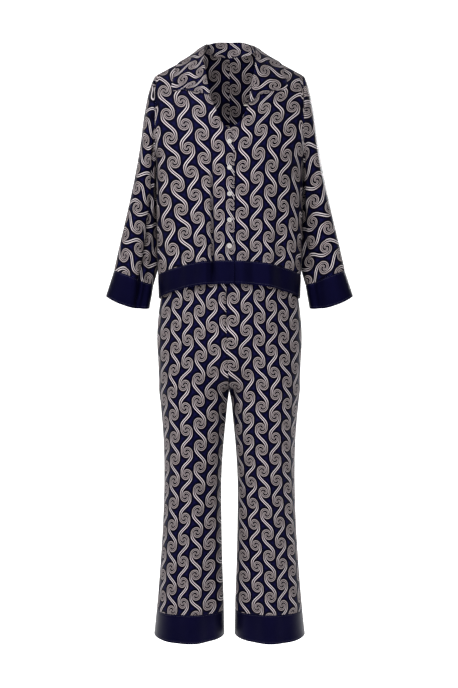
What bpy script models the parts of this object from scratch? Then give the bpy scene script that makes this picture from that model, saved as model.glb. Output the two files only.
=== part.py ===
"""Pyjama set, filled out as if worn: a long-sleeved shirt with a camp collar over straight
trousers. Every piece of cloth is a hollow wall, and the neck, hems and cuffs are open.
Sizes in this file are millimetres, and METRE turns them to metres where a mesh is made.

+Z is up, the front faces -Y and the wearer's right is at -X. The origin lies midway
between the two shoulders, level with the middle of the shoulder seams, where a wearer's
shoulders hold the set.
"""

import math
from collections import namedtuple

import bmesh
import bpy
import numpy as np

# ------------------------------------------------------------------ driving sizes, mm

METRE = 0.001  # metres in a millimetre
WALL = 1.6  # thickness of a cloth wall
SEAM = 0.3  # gap between two pieces that are sewn together
RIGHT, LEFT = -1, 1  # sign of X on the wearer's right and left
FRONT, BACK = -1, 1  # sign of Y at the front and the back

# Shirt body
UNDERARM_Z = -250.0
SHOULDER_TIP_Z = -38.0  # where the shoulder seam meets the sleeve
SHOULDER_SLOPE = 0.53  # rise of the shoulder seam for each mm towards the neck
ARMHOLE_X = 182.0
ARMHOLE_DEPTH = 0.60  # share of the body's depth that is left at the armhole
ARMHOLE_CURVE = 0.35  # share of the armhole's height that its round lower end takes
SIDE_ROUND = 2.3  # exponent of the body's oval below the arms
CHEST_ROUND = 2.5  # and of its flatter curve between the arms
FRONT_ARCH, BACK_ARCH = 1.7, 2.2  # exponents of the curve from chest to shoulder
HEM_CENTRE_Z = -566.0  # lower edge of the front hem at the centre
HEM_SIDE_DROP = 30.0  # how much lower it is at the sides
HEM_BACK_RISE = 10.0  # how much the back hem rises from side to centre
HEM_CURVE = 2.4
HEM_BAND = 56.0  # height of the hem band
LAP = 11.5  # how far each front passes the centre line
LAP_STEP = 3.2  # how far the left front lies under the right one there
LAP_EASE = 26.0  # width over which it comes back out

# Sleeves and trousers
BODY_CLEAR = 2.2  # between a sleeve and the side of the body that it hangs against
CROTCH_Z = -824.0
CROTCH_CURVE = 62.0  # height of the curved end of the front seam
CROTCH_CURVE_BACK = 95.0
SEAT_EASE = 150.0  # height over which two legs become one seat
WAISTBAND_TOP = -490.0
WAISTBAND = 36.0
TROUSER_HEM_Z = -1431.0
LEG_DROOP = 9.5  # how much lower the hem is at the front and back of a leg
LEG_BAND = 61.0

# Collar and buttons
COLLAR_CLEAR = 1.4  # between the collar's fall and the cloth under it
BUTTON_TOP_Z = -226.0
BUTTON_PITCH = 62.5
BUTTON_COUNT = 5
BUTTON_RADIUS = 5.6
BUTTON_THICK = 2.2
TOP_BUTTON = (39.0, -143.0)  # x and z of the button at the corner of the neck

# ------------------------------------------------------------------ section tables, mm

Torso = namedtuple("Torso", "z half_width front back")
TORSO = [
    Torso(-606, 176.5, 122, 114),
    Torso(-540, 178.5, 121, 111),
    Torso(-450, 181, 119, 107),
    Torso(-350, 182, 120, 106),
    Torso(-250, 182, 122, 109),
]

# The neckline of each front, from the neck point down to the lap, and of the back
Neck = namedtuple("Neck", "share x z")
NECK_RIGHT = [
    Neck(0.0, 66, 23.5),
    Neck(0.2, 64, -35),
    Neck(0.36, 58, -80),
    Neck(0.48, 49, -108),
    Neck(0.66, 35, -140),
    Neck(0.84, 17, -180),
    Neck(1.0, -LAP, -204),
]
NECK_LEFT = [
    Neck(0.0, 66, 23.5),
    Neck(0.2, 65, -35),
    Neck(0.38, 60, -82),
    Neck(0.56, 46, -130),
    Neck(0.68, 37, -154),
    Neck(0.78, 28, -172),
    Neck(0.89, 12, -185),
    Neck(1.0, -LAP, -196),
]
NECK_BACK = [
    Neck(0.0, 66, 23.5),
    Neck(0.3, 53, 22),
    Neck(0.6, 30, 20),
    Neck(1.0, 0, 20),
]

# One row for each section of a sleeve: its outer edge, the edge against the body, its half
# depth, and how far the section has turned from the shape of the armhole into an oval.
# The arm hangs a little behind the body's side, and its cuff comes forward again.
Sleeve = namedtuple("Sleeve", "outer_x outer_y outer_z inner_x inner_y inner_z depth turned")
SLEEVE = [
    Sleeve(199, 2, -62, 184, 4, -258, 68, 0.45),
    Sleeve(208, 4, -100, 180, 18, -270, 68, 0.8),
    Sleeve(215, 6, -150, 175, 34, -290, 67, 1),
    Sleeve(222, 8, -205, 171, 46, -320, 65, 1),
    Sleeve(233, 9, -270, 169, 50, -362, 63, 1),
    Sleeve(246, 8, -335, 169, 48, -410, 60, 1),
    Sleeve(260, 4, -400, 171, 42, -458, 55, 1),
    Sleeve(274, -2, -462, 178, 26, -511, 49, 1),
    Sleeve(288, -8, -527, 190, 4, -563, 43, 1),
]
CUFF = [
    Sleeve(298, -10, -560, 195, 0, -593, 40, 1),
    Sleeve(307.5, -12, -591, 200, -3, -621, 38, 1),
]
CUFF_DROOP = 11.0  # how much lower the cuff's edge is at the front and back of the wrist

# The trousers round the hips: half width, and depth of the front and of the back
Hips = namedtuple("Hips", "z half_width front back")
HIPS = [
    Hips(-824, 176, 108, 112),
    Hips(-760, 180, 111, 115),
    Hips(-700, 181, 113, 117),
    Hips(-650, 178.5, 113, 115),
    Hips(-600, 172.5, 111, 109.6),
    Hips(-560, 166, 108, 103),
    Hips(-526, 154, 102, 97),
    Hips(-486, 148, 99, 94),
]

# One leg: how far its side seam and its inseam are from the middle, and its depths
Leg = namedtuple("Leg", "z outer inner front back")
LEG = [
    Leg(-1440, 189, 12, 76, 76),
    Leg(-1350, 180, 14, 77, 78),
    Leg(-1250, 172, 17.5, 79, 82),
    Leg(-1150, 166, 19.5, 83, 87),
    Leg(-1050, 163, 20, 88, 93),
    Leg(-950, 164.5, 14, 95, 100),
    Leg(-900, 168, 9, 99, 104),
    Leg(-850, 173, 4, 103, 108),
    Leg(-824, 176, 0.15, 105, 110),
]

# The collar, from the front end of a side round to the centre back. The seam and the edge
# of the fall lie on the body, at x and a rise as body_surface takes it; the roll line is
# free.
Collar = namedtuple("Collar", "share seam_x seam_rise roll_x roll_y roll_z edge_x edge_rise")
COLLAR_RIGHT = [
    Collar(0.0, 49, -0.497, 47.5, -101.5, -104, 51.5, -0.502),
    Collar(0.07, 53, -0.447, 50, -95, -92, 84, -0.432),
    Collar(0.14, 56, -0.405, 53, -90, -79, 113, -0.372),
    Collar(0.22, 60, -0.331, 57, -81, -56, 138, -0.333),
    Collar(0.34, 64, -0.217, 62, -66, -24, 136, -0.162),
    Collar(0.46, 66, -0.086, 63, -40, 12, 130, -0.04),
    Collar(0.56, 66, 0.0, 62.5, -5, 40, 119, 0.0),
    Collar(0.7, 56, 0.026, 53.5, 36, 54, 101, 0.059),
    Collar(0.85, 31, 0.075, 31, 58, 60, 58, 0.136),
    Collar(1.0, 0, 0.125, 0, 66, 62, 0, 0.209),
]
COLLAR_LEFT = [
    Collar(0.0, 47, -0.577, 45, -104.5, -125, 49, -0.579),
    Collar(0.07, 51, -0.527, 48, -99, -111, 70, -0.491),
    Collar(0.14, 56, -0.455, 52, -93, -92, 96, -0.41),
    Collar(0.22, 60, -0.371, 57, -85, -66, 135, -0.325),
    Collar(0.34, 64, -0.235, 63, -69, -27, 136, -0.154),
    Collar(0.46, 66, -0.086, 65, -40, 12, 130, -0.04),
    Collar(0.56, 66, 0.0, 64.5, -5, 40, 119, 0.0),
    Collar(0.7, 56, 0.026, 54.5, 36, 54, 101, 0.059),
    Collar(0.85, 31, 0.075, 31, 58, 60, 58, 0.136),
    Collar(1.0, 0, 0.125, 0, 66, 62, 0, 0.209),
]
# Where the collar's columns are, closer together where its edge turns over the shoulder
COLLAR_SHARES = [0, 0.05, 0.1, 0.16, 0.22, 0.28, 0.34, 0.4, 0.46]
COLLAR_SHARES += [0.5, 0.53, 0.56, 0.6, 0.66, 0.75, 0.87, 1]

# Soft upright folds: valleys where depth is positive, ridges where it is negative. x is
# given where the fold starts and where it ends, going down, and width is half its width.
Fold = namedtuple("Fold", "x_top z_top x_end z_end depth width")
SHIRT_FRONT_FOLDS = [
    Fold(-46, -310, -40, -610, 6.0, 13),
    Fold(-62, -330, -66, -610, -3.5, 16),
    Fold(-112, -380, -131, -610, 7.0, 20),
    Fold(-6, -470, -8, -610, 3.6, 18),
    Fold(18, -470, 22, -610, -3.0, 12),
    Fold(54, -340, 61, -610, 5.5, 17),
    Fold(92, -360, 97, -610, -4.0, 17),
    Fold(118, -350, 133, -610, 7.0, 18),
]
SHIRT_BACK_FOLDS = [
    Fold(-118, -330, -128, -610, 6.5, 20),
    Fold(-66, -250, -72, -610, -4.0, 20),
    Fold(-22, -220, -26, -610, 6.0, 17),
    Fold(34, -260, 38, -610, -4.0, 18),
    Fold(76, -240, 84, -610, 6.0, 18),
    Fold(126, -350, 138, -610, 6.0, 16),
]
LEG_FRONT_FOLDS = [
    Fold(-118, -860, -126, -1440, 4.0, 20),
    Fold(-58, -900, -52, -1440, 4.5, 18),
    Fold(52, -880, 60, -1440, 5.5, 22),
    Fold(122, -930, 134, -1440, 4.0, 18),
]
LEG_BACK_FOLDS = [
    Fold(-112, -800, -120, -1440, 5.0, 20),
    Fold(-50, -850, -62, -1440, 4.0, 18),
    Fold(58, -840, 56, -1440, 5.0, 20),
    Fold(116, -820, 128, -1440, 4.5, 20),
]

# The sleeve's two long folds, where the cloth sinks in beside the body and at the elbow.
# turn is the place round the sleeve in degrees from the underarm, by way of the front.
SleeveFold = namedtuple("SleeveFold", "turn_top turn_end from_share depth width")
SLEEVE_FOLDS = [
    SleeveFold(52, 44, 0.10, 9.0, 13),
    SleeveFold(78, 62, 0.45, 6.0, 12),
    SleeveFold(286, 300, 0.15, 8.0, 14),
    SleeveFold(238, 246, 0.40, 5.0, 13),
]

# ------------------------------------------------------------------ numbers


def along(table, column, at, key="z"):
    """A column of a table read anywhere between its rows, by a smooth curve through them."""
    rows = sorted(table, key=lambda row: getattr(row, key))
    keys = np.array([getattr(row, key) for row in rows], float)
    values = np.array([getattr(row, column) for row in rows], float)
    slopes = np.gradient(values, keys)
    at = np.clip(np.asarray(at, float), keys[0], keys[-1])
    low = np.clip(np.searchsorted(keys, at, side="right") - 1, 0, len(keys) - 2)
    span = keys[low + 1] - keys[low]
    t = (at - keys[low]) / span
    start, end = values[low], values[low + 1]
    bend = t * (1 - t)
    eased = t * t * (3 - 2 * t)
    return start + (end - start) * eased + span * bend * (slopes[low] * (1 - t) - slopes[low + 1] * t)


def eased(t):
    t = np.clip(t, 0, 1)
    return t * t * (3 - 2 * t)


def quarter_arc(t):
    """Rises from 0 to 1 like the first quarter of a circle, upright at 0 and level at 1."""
    t = np.clip(t, 0, 1)
    return np.sqrt(1 - (1 - t) ** 2)


def unit(vectors):
    return vectors / np.maximum(np.linalg.norm(vectors, axis=-1, keepdims=True), 1e-9)


def grid_normals(points, ring=False):
    """Unit normals of a grid of points, rows by columns, on the side that faces away from
    its middle. A ring's last column joins its first."""
    if ring:
        wrapped = np.concatenate([points[:, -1:], points, points[:, :1]], axis=1)
        across = wrapped[:, 2:] - wrapped[:, :-2]
    else:
        across = np.gradient(points, axis=1)
    return unit(np.cross(across, np.gradient(points, axis=0)))


def keep_level(normals, place, axis):
    """Takes one axis out of the normals at an edge, so that its rim stays in that plane."""
    edge = normals[place]
    edge[..., axis] = 0
    normals[place] = unit(edge)


# ------------------------------------------------------------------ shirt body


def shoulder_height(x):
    return SHOULDER_TIP_Z + SHOULDER_SLOPE * (ARMHOLE_X - np.abs(x))


def body_depth(across, z, face):
    """How far the body's cloth is from the plane of its side seams. across is 0 at the
    centre line and 1 at the side seam or armhole."""
    column = "front" if face == FRONT else "back"
    arch_power = FRONT_ARCH if face == FRONT else BACK_ARCH
    across = np.clip(np.abs(across), 0, 1)
    depth = along(TORSO, column, z)
    top = shoulder_height(across * ARMHOLE_X)
    height = np.clip((z - UNDERARM_Z) / (top - UNDERARM_Z), 0, 1)
    arch = (1 - height**arch_power) ** (1 / arch_power)
    closed = (1 - across**SIDE_ROUND) ** (1 / SIDE_ROUND)
    opened = ARMHOLE_DEPTH + (1 - ARMHOLE_DEPTH) * (1 - across**CHEST_ROUND)
    open_share = quarter_arc(height / ARMHOLE_CURVE)
    return depth * arch * (closed + (opened - closed) * open_share)


def body_point(side, across, z, face):
    """A point on the outside of the shirt's body. A negative across lies past the centre."""
    x = side * across * along(TORSO, "half_width", z)
    y = face * np.maximum(body_depth(across, z, face), SEAM / 2)
    return np.stack([x, y, np.broadcast_to(z, x.shape)], axis=-1)


def body_surface(x, rise, side):
    """The body's cloth over the shoulder. rise is -1 at underarm height in front, 0 on
    the shoulder line and 1 at underarm height behind."""
    top = shoulder_height(x)
    z = top + (UNDERARM_Z - top) * np.abs(rise)
    depth_front = body_depth(x / ARMHOLE_X, z, FRONT)
    depth_back = body_depth(x / ARMHOLE_X, z, BACK)
    y = np.where(rise < 0, -depth_front, depth_back)
    return np.stack([side * x, y, z], axis=-1)


def surface_normal(x, rise, side):
    """Outward normal of body_surface, from two small steps along it."""
    step_x, step_rise = 1.5, 0.01
    in_x = body_surface(x + step_x, rise, side) - body_surface(x - step_x, rise, side)
    in_rise = body_surface(x, rise + step_rise, side) - body_surface(x, rise - step_rise, side)
    return unit(side * np.cross(in_x, in_rise))


def hem_height(across, face):
    """Lower edge of the shirt."""
    side = HEM_CENTRE_Z - HEM_SIDE_DROP
    rise = HEM_SIDE_DROP if face == FRONT else HEM_BACK_RISE
    return side + rise * (1 - np.clip(np.abs(across), 0, 1) ** HEM_CURVE)


def fold_depth(folds, x, z):
    """How far the folds push the cloth in at a place, seen from the front or the back."""
    total = np.zeros(np.broadcast(x, z).shape)
    for fold in folds:
        down = np.clip((fold.z_top - z) / (fold.z_top - fold.z_end), 0, 1)
        middle = fold.x_top + (fold.x_end - fold.x_top) * down
        total = total + fold.depth * eased(down * 2.2) * np.exp(-(((x - middle) / fold.width) ** 2))
    return total


def push_in(points, normals, amount):
    return points - normals * amount[..., None]


def shirt_rows(low_count, high_count):
    """Places of the rows from the hem seam, 0, to the top edge, 1. Above the underarm
    they are spaced as on a half circle, so that a sleeve's points can meet them."""
    side_seam = HEM_CENTRE_Z - HEM_SIDE_DROP + HEM_BAND + SEAM
    whole = SHOULDER_TIP_Z - side_seam
    underarm = (UNDERARM_Z - side_seam) / whole
    low = np.linspace(0, underarm, low_count + 1)[:-1]
    half_turns = np.linspace(0, math.pi, high_count + 1)
    return np.concatenate([low, underarm + (1 - underarm) * (1 - np.cos(half_turns)) / 2])


LOW_ROWS, HIGH_ROWS = 8, 9
FRONT_NECK_COLUMNS, BACK_NECK_COLUMNS, SHOULDER_COLUMNS = 8, 4, 6


def shirt_panel_points(side, face, neckline, lap):
    """Grid of points of a front or back panel, rows from the hem seam up, columns from
    the centre line out."""
    rows = shirt_rows(LOW_ROWS, HIGH_ROWS)
    neck_columns = FRONT_NECK_COLUMNS if face == FRONT else BACK_NECK_COLUMNS
    count = neck_columns + SHOULDER_COLUMNS
    share = np.linspace(0, 1, count + 1)
    low_across = np.sin(math.pi / 2 * share**1.45)
    low_across = -lap / ARMHOLE_X * (1 - share) ** 2 + low_across
    neck_share = np.linspace(1, 0, neck_columns + 1)
    neck_x = along(neckline, "x", neck_share, "share")
    neck_z = along(neckline, "z", neck_share, "share")
    shoulder_x = np.linspace(neckline[0].x, ARMHOLE_X, SHOULDER_COLUMNS + 1)[1:]
    top_across = np.concatenate([neck_x, shoulder_x]) / ARMHOLE_X
    top_z = np.concatenate([neck_z, shoulder_height(shoulder_x)])
    low_z = hem_height(low_across, face) + HEM_BAND + SEAM
    t = rows[:, None]
    across = low_across + (top_across - low_across) * t**1.3
    across[:, -1] = 1
    z = low_z + (top_z - low_z) * t
    return body_point(side, across, z, face)


def lap_depth(x, side):
    """How far the left front is pushed in where the right one lies over it."""
    if side == RIGHT:
        return np.zeros_like(x)
    return LAP_STEP * (1 - eased((x - LAP) / LAP_EASE))


def shirt_folds(points, normals, side, face):
    folds = SHIRT_FRONT_FOLDS if face == FRONT else SHIRT_BACK_FOLDS
    amount = fold_depth(folds, points[..., 0], points[..., 2])
    seam = 1 - np.clip(np.abs(points[..., 0]) / (ARMHOLE_X - 14), 0, 1) ** 8
    amount = amount * seam
    if face == FRONT:
        amount = amount + lap_depth(points[..., 0], side)
    return push_in(points, normals, amount)


def make_shirt_panel(name, side, face, neckline, lap, finish):
    points = shirt_panel_points(side, face, neckline, lap)
    normals = outward(points)
    points = shirt_folds(points, normals, side, face)
    normals = outward(points)
    side_seam = np.s_[: LOW_ROWS + 1, -1]
    keep_level(normals, side_seam, 1)
    keep_level(normals, np.s_[-1, -SHOULDER_COLUMNS - 1 :], 1)
    if face == BACK:
        keep_level(normals, np.s_[:, 0], 0)
        points[:, 0, 0] = side * SEAM / 2
    add_wall(name, points, normals, finish)


def outward(points, ring=False):
    """Normals of an upright piece, turned to face away from the garment's middle."""
    normals = grid_normals(points, ring)
    middle = points.reshape(-1, 3).mean(axis=0) if ring else np.array([0, 0, -400.0])
    away = points - middle
    away[..., 2] = 0
    if (normals * away).sum() < 0:
        normals = -normals
    return normals


def make_shirt_band(name, sides, face, lap, finish):
    """Hem band: it carries the panel's surface on down to the hem."""
    rows = np.linspace(0, 1, 4)[:, None]
    grids = []
    for side in sides:
        share = np.linspace(0, 1, 12)
        across = np.sin(math.pi / 2 * share**1.2)
        across = across - lap / ARMHOLE_X * (1 - share) ** 2
        z = hem_height(across, face) + HEM_BAND * rows
        grid = body_point(side, np.broadcast_to(across, z.shape), z, face)
        grids.append(grid)
    if len(grids) == 2:
        points = np.concatenate([grids[0][:, ::-1], grids[1][:, 1:]], axis=1)
    else:
        points = grids[0]
    normals = outward(points)
    points = shirt_folds(points, normals, sides[0], face)
    normals = outward(points)
    keep_level(normals, np.s_[:, -1], 1)
    if len(grids) == 2:
        keep_level(normals, np.s_[:, 0], 1)
    add_wall(name, points, normals, finish)


# ------------------------------------------------------------------ sleeves


def armhole_ring():
    """The sleeve's first ring: the body's own armhole, from the underarm by way of the
    front over the shoulder and back down."""
    half_turns = np.linspace(0, math.pi, HIGH_ROWS + 1)
    z = UNDERARM_Z + (SHOULDER_TIP_Z - UNDERARM_Z) * (1 - np.cos(half_turns)) / 2
    front = np.stack([np.full(z.shape, ARMHOLE_X + SEAM), -body_depth(1, z, FRONT), z], axis=-1)
    back = np.stack([np.full(z.shape, ARMHOLE_X + SEAM), body_depth(1, z, BACK), z], axis=-1)
    return np.concatenate([front, back[-2:0:-1]])


def sleeve_ring(row, turns):
    """An oval round a sleeve's section. turns are angles from the underarm by way of the
    front."""
    outer = np.array([row.outer_x, row.outer_y, row.outer_z])
    inner = np.array([row.inner_x, row.inner_y, row.inner_z])
    middle, reach = (outer + inner) / 2, (inner - outer) / 2
    across = np.sign(np.cos(turns)) * np.abs(np.cos(turns)) ** 0.92
    depth = np.sign(np.sin(turns)) * np.abs(np.sin(turns)) ** 0.92
    return middle + reach * across[:, None] + np.array([0, -row.depth, 0]) * depth[:, None]


def clear_of_body(points):
    """Moves what would reach into the body's side, or lie too near it, out to its clearance."""
    x, y, z = points[..., 0], points[..., 1], points[..., 2]
    half_width = along(TORSO, "half_width", z) + BODY_CLEAR
    depth = np.where(y < 0, along(TORSO, "front", z), along(TORSO, "back", z)) + BODY_CLEAR
    oval = (x / half_width) ** SIDE_ROUND + (np.abs(y) / depth) ** SIDE_ROUND
    grow = 1 / np.clip(oval ** (1 / SIDE_ROUND), 0.5, 1)
    moved = points.copy()
    below = z < UNDERARM_Z
    moved[..., 0] = np.where(below, x * grow, np.maximum(x, ARMHOLE_X + SEAM))
    moved[..., 1] = np.where(below, y * grow, y)
    return moved


def arm_points():
    """Grid of points round the wearer's left sleeve and its cuff, rows from the armhole
    down."""
    turns = np.arange(2 * HIGH_ROWS) * math.pi / HIGH_ROWS
    hole = armhole_ring()
    rings = [hole]
    for row in SLEEVE + CUFF:
        rings.append(hole * (1 - row.turned) + sleeve_ring(row, turns) * row.turned)
    points = np.array(rings)
    rows_down = np.arange(1, len(CUFF) + 1)[:, None] / len(CUFF)
    points[-len(CUFF) :, :, 2] -= CUFF_DROOP * rows_down * np.sin(turns) ** 2
    points = push_in(points, outward(points, ring=True), sleeve_folds(points))
    points[0] = hole
    points[1:] = clear_of_body(points[1:])
    return points


def sleeve_folds(points):
    turns = np.degrees(np.arange(points.shape[1]) * math.pi / HIGH_ROWS)
    share = np.linspace(0, 1, points.shape[0])[:, None]
    amount = np.zeros(points.shape[:2])
    for fold in SLEEVE_FOLDS:
        down = np.clip((share - fold.from_share) / (1 - fold.from_share), 0, 1)
        middle = fold.turn_top + (fold.turn_end - fold.turn_top) * down
        near = np.exp(-(((turns - middle) / fold.width) ** 2))
        amount = amount + fold.depth * eased(down * 3) * near
    return amount


def make_arm(side, word, sleeve_finish, cuff_finish):
    """A sleeve and its cuff, cut from one run of rings so that they meet all round."""
    points = arm_points()
    normals = outward(points, ring=True)
    keep_level(normals, np.s_[0, :], 0)
    points[..., 0] *= side
    normals[..., 0] *= side
    cuff_row = len(SLEEVE)
    add_wall("sleeve_" + word, points[: cuff_row + 1], normals[: cuff_row + 1], sleeve_finish, ring=True)
    cuff = points[cuff_row:].copy()
    cuff[0] += unit(cuff[1] - cuff[0]) * SEAM
    add_wall("cuff_" + word, cuff, normals[cuff_row:], cuff_finish, ring=True)


# ------------------------------------------------------------------ trousers


def hip_point(share, z, face):
    column = "front" if face == FRONT else "back"
    angle = share * math.pi / 2
    x = along(HIPS, "half_width", z) * np.sin(angle)
    y = face * along(HIPS, column, z) * np.cos(angle) ** 0.9
    return x, y


def leg_point(share, z, face):
    column = "front" if face == FRONT else "back"
    angle = share * math.pi
    outer = along(LEG, "outer", z)
    inner = along(LEG, "inner", z)
    middle, half = (outer + inner) / 2, (outer - inner) / 2
    flat = np.sign(np.cos(angle)) * np.abs(np.cos(angle)) ** 0.94
    x = middle - half * flat
    y = face * along(LEG, column, z) * np.abs(np.sin(angle)) ** 0.94
    return x, y


def trouser_point(share, z, face):
    """A point on a trouser panel for the wearer's left leg. share is 0 at the centre seam
    or inseam and 1 at the side seam."""
    curve = CROTCH_CURVE if face == FRONT else CROTCH_CURVE_BACK
    height = (z - CROTCH_Z) / curve
    seam_share = quarter_arc(height)
    panel_share = eased((z - CROTCH_Z) / SEAT_EASE)
    hip_share = seam_share + (panel_share - seam_share) * eased(share * 2.5)
    hip_x, hip_y = hip_point(share, np.maximum(z, CROTCH_Z), face)
    leg_x, leg_y = leg_point(share, np.minimum(z, CROTCH_Z), face)
    x = leg_x + (hip_x - leg_x) * hip_share
    y = leg_y + (hip_y - leg_y) * hip_share
    x = np.maximum(x, SEAM / 2)
    y = face * np.maximum(np.abs(y), SEAM / 2)
    return np.stack([x, y, np.broadcast_to(z, x.shape)], axis=-1)


TROUSER_COLUMNS = 10
HIP_ROWS, CURVE_ROWS, LEG_ROWS = 4, 6, 9


def trouser_rows():
    """Heights of a panel's rows, from the hem seam up to the waistband's seam."""
    hem_seam = TROUSER_HEM_Z + LEG_BAND + SEAM
    waist_seam = WAISTBAND_TOP - WAISTBAND - SEAM
    legs = np.linspace(hem_seam, CROTCH_Z, LEG_ROWS + 1)
    rise = SEAT_EASE * np.linspace(0, 1, CURVE_ROWS + 1) ** 1.7
    hips = np.linspace(CROTCH_Z + SEAT_EASE, waist_seam, HIP_ROWS + 1)
    return np.concatenate([legs, CROTCH_Z + rise[1:], hips[1:]])


def leg_folds(points, normals, face):
    """Folds of the legs. They fade out at the side seam and at the inseam."""
    folds = LEG_FRONT_FOLDS if face == FRONT else LEG_BACK_FOLDS
    seam = eased(np.abs(points[..., 1]) / 45)
    return push_in(points, normals, fold_depth(folds, points[..., 0], points[..., 2]) * seam)


def make_trouser_panel(name, side, face, finish):
    z = trouser_rows()[:, None]
    share = np.linspace(0, 1, TROUSER_COLUMNS + 1)
    points = trouser_point(share, z, face)
    points[..., 0] *= side
    normals = panel_normals(points, face)
    points = leg_folds(points, normals, face)
    normals = panel_normals(points, face)
    keep_level(normals, np.s_[:, -1], 1)
    keep_level(normals, np.s_[: LEG_ROWS + 1, 0], 1)
    keep_level(normals, np.s_[LEG_ROWS + 1 :, 0], 0)
    add_wall(name, points, normals, finish)


def panel_normals(points, face):
    """Normals of a trouser panel, turned to the side that it faces."""
    normals = grid_normals(points)
    if (normals[..., 1] * face).sum() < 0:
        normals = -normals
    return normals


def make_leg_band(name, side, finish):
    """Hem band of a leg: it carries both panels' surfaces on down to the hem."""
    share = np.linspace(0, 1, TROUSER_COLUMNS + 1)
    rows = np.linspace(0, 1, 3)[:, None]
    droop = LEG_DROOP * np.sin(math.pi * share) ** 1.8
    z = TROUSER_HEM_Z + LEG_BAND * rows - droop * (1 - rows)
    halves = []
    for face in (FRONT, BACK):
        half = trouser_point(share, z, face)
        half[..., 0] *= side
        half = leg_folds(half, panel_normals(half, face), face)
        halves.append(half)
    front, back = halves
    points = np.concatenate([front, back[:, -2:0:-1]], axis=1)
    points[:, 0, 1] = 0
    points[:, TROUSER_COLUMNS, 1] = 0
    add_wall(name, points, outward(points, ring=True), finish, ring=True)


def make_waistband(finish):
    """Casing of the elastic, one ring round the waist."""
    angle = np.linspace(0, 2 * math.pi, 29)[:-1]
    z = WAISTBAND_TOP - WAISTBAND * np.linspace(1, 0, 3)[:, None]
    share = np.arcsin(np.abs(np.sin(angle))) / (math.pi / 2)
    front_x, front_y = hip_point(share, z, FRONT)
    _, back_y = hip_point(share, z, BACK)
    x = front_x * np.sign(np.sin(angle))
    y = np.where(np.cos(angle) > 0, front_y, back_y)
    points = np.stack([x, y, np.broadcast_to(z, x.shape)], axis=-1)
    add_wall("waistband", points, outward(points, ring=True), finish, ring=True)


# ------------------------------------------------------------------ collar


def collar_half(table, side, shares):
    """Rows of points across one half of the collar, from its front end to the centre
    back: up the stand, over the roll line and down the fall. The grid's side that faces
    the neck, and then the sky, is the one that shows."""
    read = {name: along(table, name, shares, "share") for name in Collar._fields[1:]}
    seam_normal = surface_normal(read["seam_x"], read["seam_rise"], side)
    seam = body_surface(read["seam_x"], read["seam_rise"], side) + seam_normal * (SEAM + 0.2)
    roll = np.stack([side * read["roll_x"], read["roll_y"], read["roll_z"]], axis=-1)
    height = np.linalg.norm(roll - seam, axis=-1)
    rows = [seam, seam + (roll - seam) * 0.55, roll]
    for step in (0.1, 0.3, 0.55, 0.8, 1.0):
        x = read["seam_x"] + (read["edge_x"] - read["seam_x"]) * step
        rise = read["seam_rise"] + (read["edge_rise"] - read["seam_rise"]) * step
        lift = WALL + COLLAR_CLEAR + np.maximum(height - 2, 0) * 0.7 * (1 - step) ** 2
        rows.append(body_surface(x, rise, side) + surface_normal(x, rise, side) * lift[:, None])
    return np.stack(rows, axis=0)


def make_collar(finish):
    shares = np.array(COLLAR_SHARES)
    right = collar_half(COLLAR_RIGHT, RIGHT, shares)
    left = collar_half(COLLAR_LEFT, LEFT, shares)
    points = np.concatenate([right, left[:, -2::-1]], axis=1)
    normals = grid_normals(points)
    if normals[-2, len(shares) - 1, 1] < 0:
        normals = -normals
    add_wall("collar", points, normals, finish)


# ------------------------------------------------------------------ buttons


def front_surface(x, z):
    """Outside of the right front at a place on the lap."""
    across = np.array([[abs(x) / float(along(TORSO, "half_width", z))]])
    return body_point(math.copysign(1, x), across, np.array([[z]]), FRONT)[0, 0]


def make_button(name, x, z, lift, finish):
    """A pearl button: a turned disc with a raised rim and a dished middle."""
    step = 3.0
    middle = front_surface(x, z)
    upward = unit(front_surface(x, z + step) - front_surface(x, z - step))
    sideways = unit(front_surface(x + step, z) - front_surface(x - step, z))
    out = unit(np.cross(sideways, upward))
    profile = [
        (0.0, 0.0),
        (0.72, 0.0),
        (1.0, 0.35),
        (1.0, 0.7),
        (0.88, 1.0),
        (0.66, 0.78),
        (0.0, 0.7),
    ]
    sides = 14
    mesh = bmesh.new()
    rings = []
    for radius, height in profile:
        base = middle + out * (lift + height * BUTTON_THICK)
        if radius == 0:
            rings.append([mesh.verts.new(base * METRE)])
            continue
        ring = []
        for k in range(sides):
            angle = 2 * math.pi * k / sides
            spoke = sideways * math.cos(angle) + upward * math.sin(angle)
            ring.append(mesh.verts.new((base + spoke * radius * BUTTON_RADIUS) * METRE))
        rings.append(ring)
    for lower, upper in zip(rings, rings[1:]):
        for k in range(sides):
            following = (k + 1) % sides
            corners = [lower[k % len(lower)], lower[following % len(lower)]]
            corners += [upper[following % len(upper)], upper[k % len(upper)]]
            mesh.faces.new(list(dict.fromkeys(corners)))
    finish_mesh(name, mesh, finish)


# ------------------------------------------------------------------ solids and finishes


def new_finish(name, colour, roughness):
    finish = bpy.data.materials.new(name)
    finish.use_nodes = True
    shader = finish.node_tree.nodes["Principled BSDF"]
    shader.inputs["Base Color"].default_value = (*colour, 1)
    shader.inputs["Roughness"].default_value = roughness
    shader.inputs["Metallic"].default_value = 0
    finish.diffuse_color = (*colour, 1)
    return finish


def finish_mesh(name, mesh, finish):
    """Puts a closed mesh into the scene as one named object."""
    bmesh.ops.recalc_face_normals(mesh, faces=mesh.faces)
    data = bpy.data.meshes.new(name)
    mesh.to_mesh(data)
    mesh.free()
    data.shade_smooth()
    data.set_sharp_from_angle(angle=math.radians(50))
    data.materials.append(finish)
    solid = bpy.data.objects.new(name, data)
    bpy.context.scene.collection.objects.link(solid)


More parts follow.
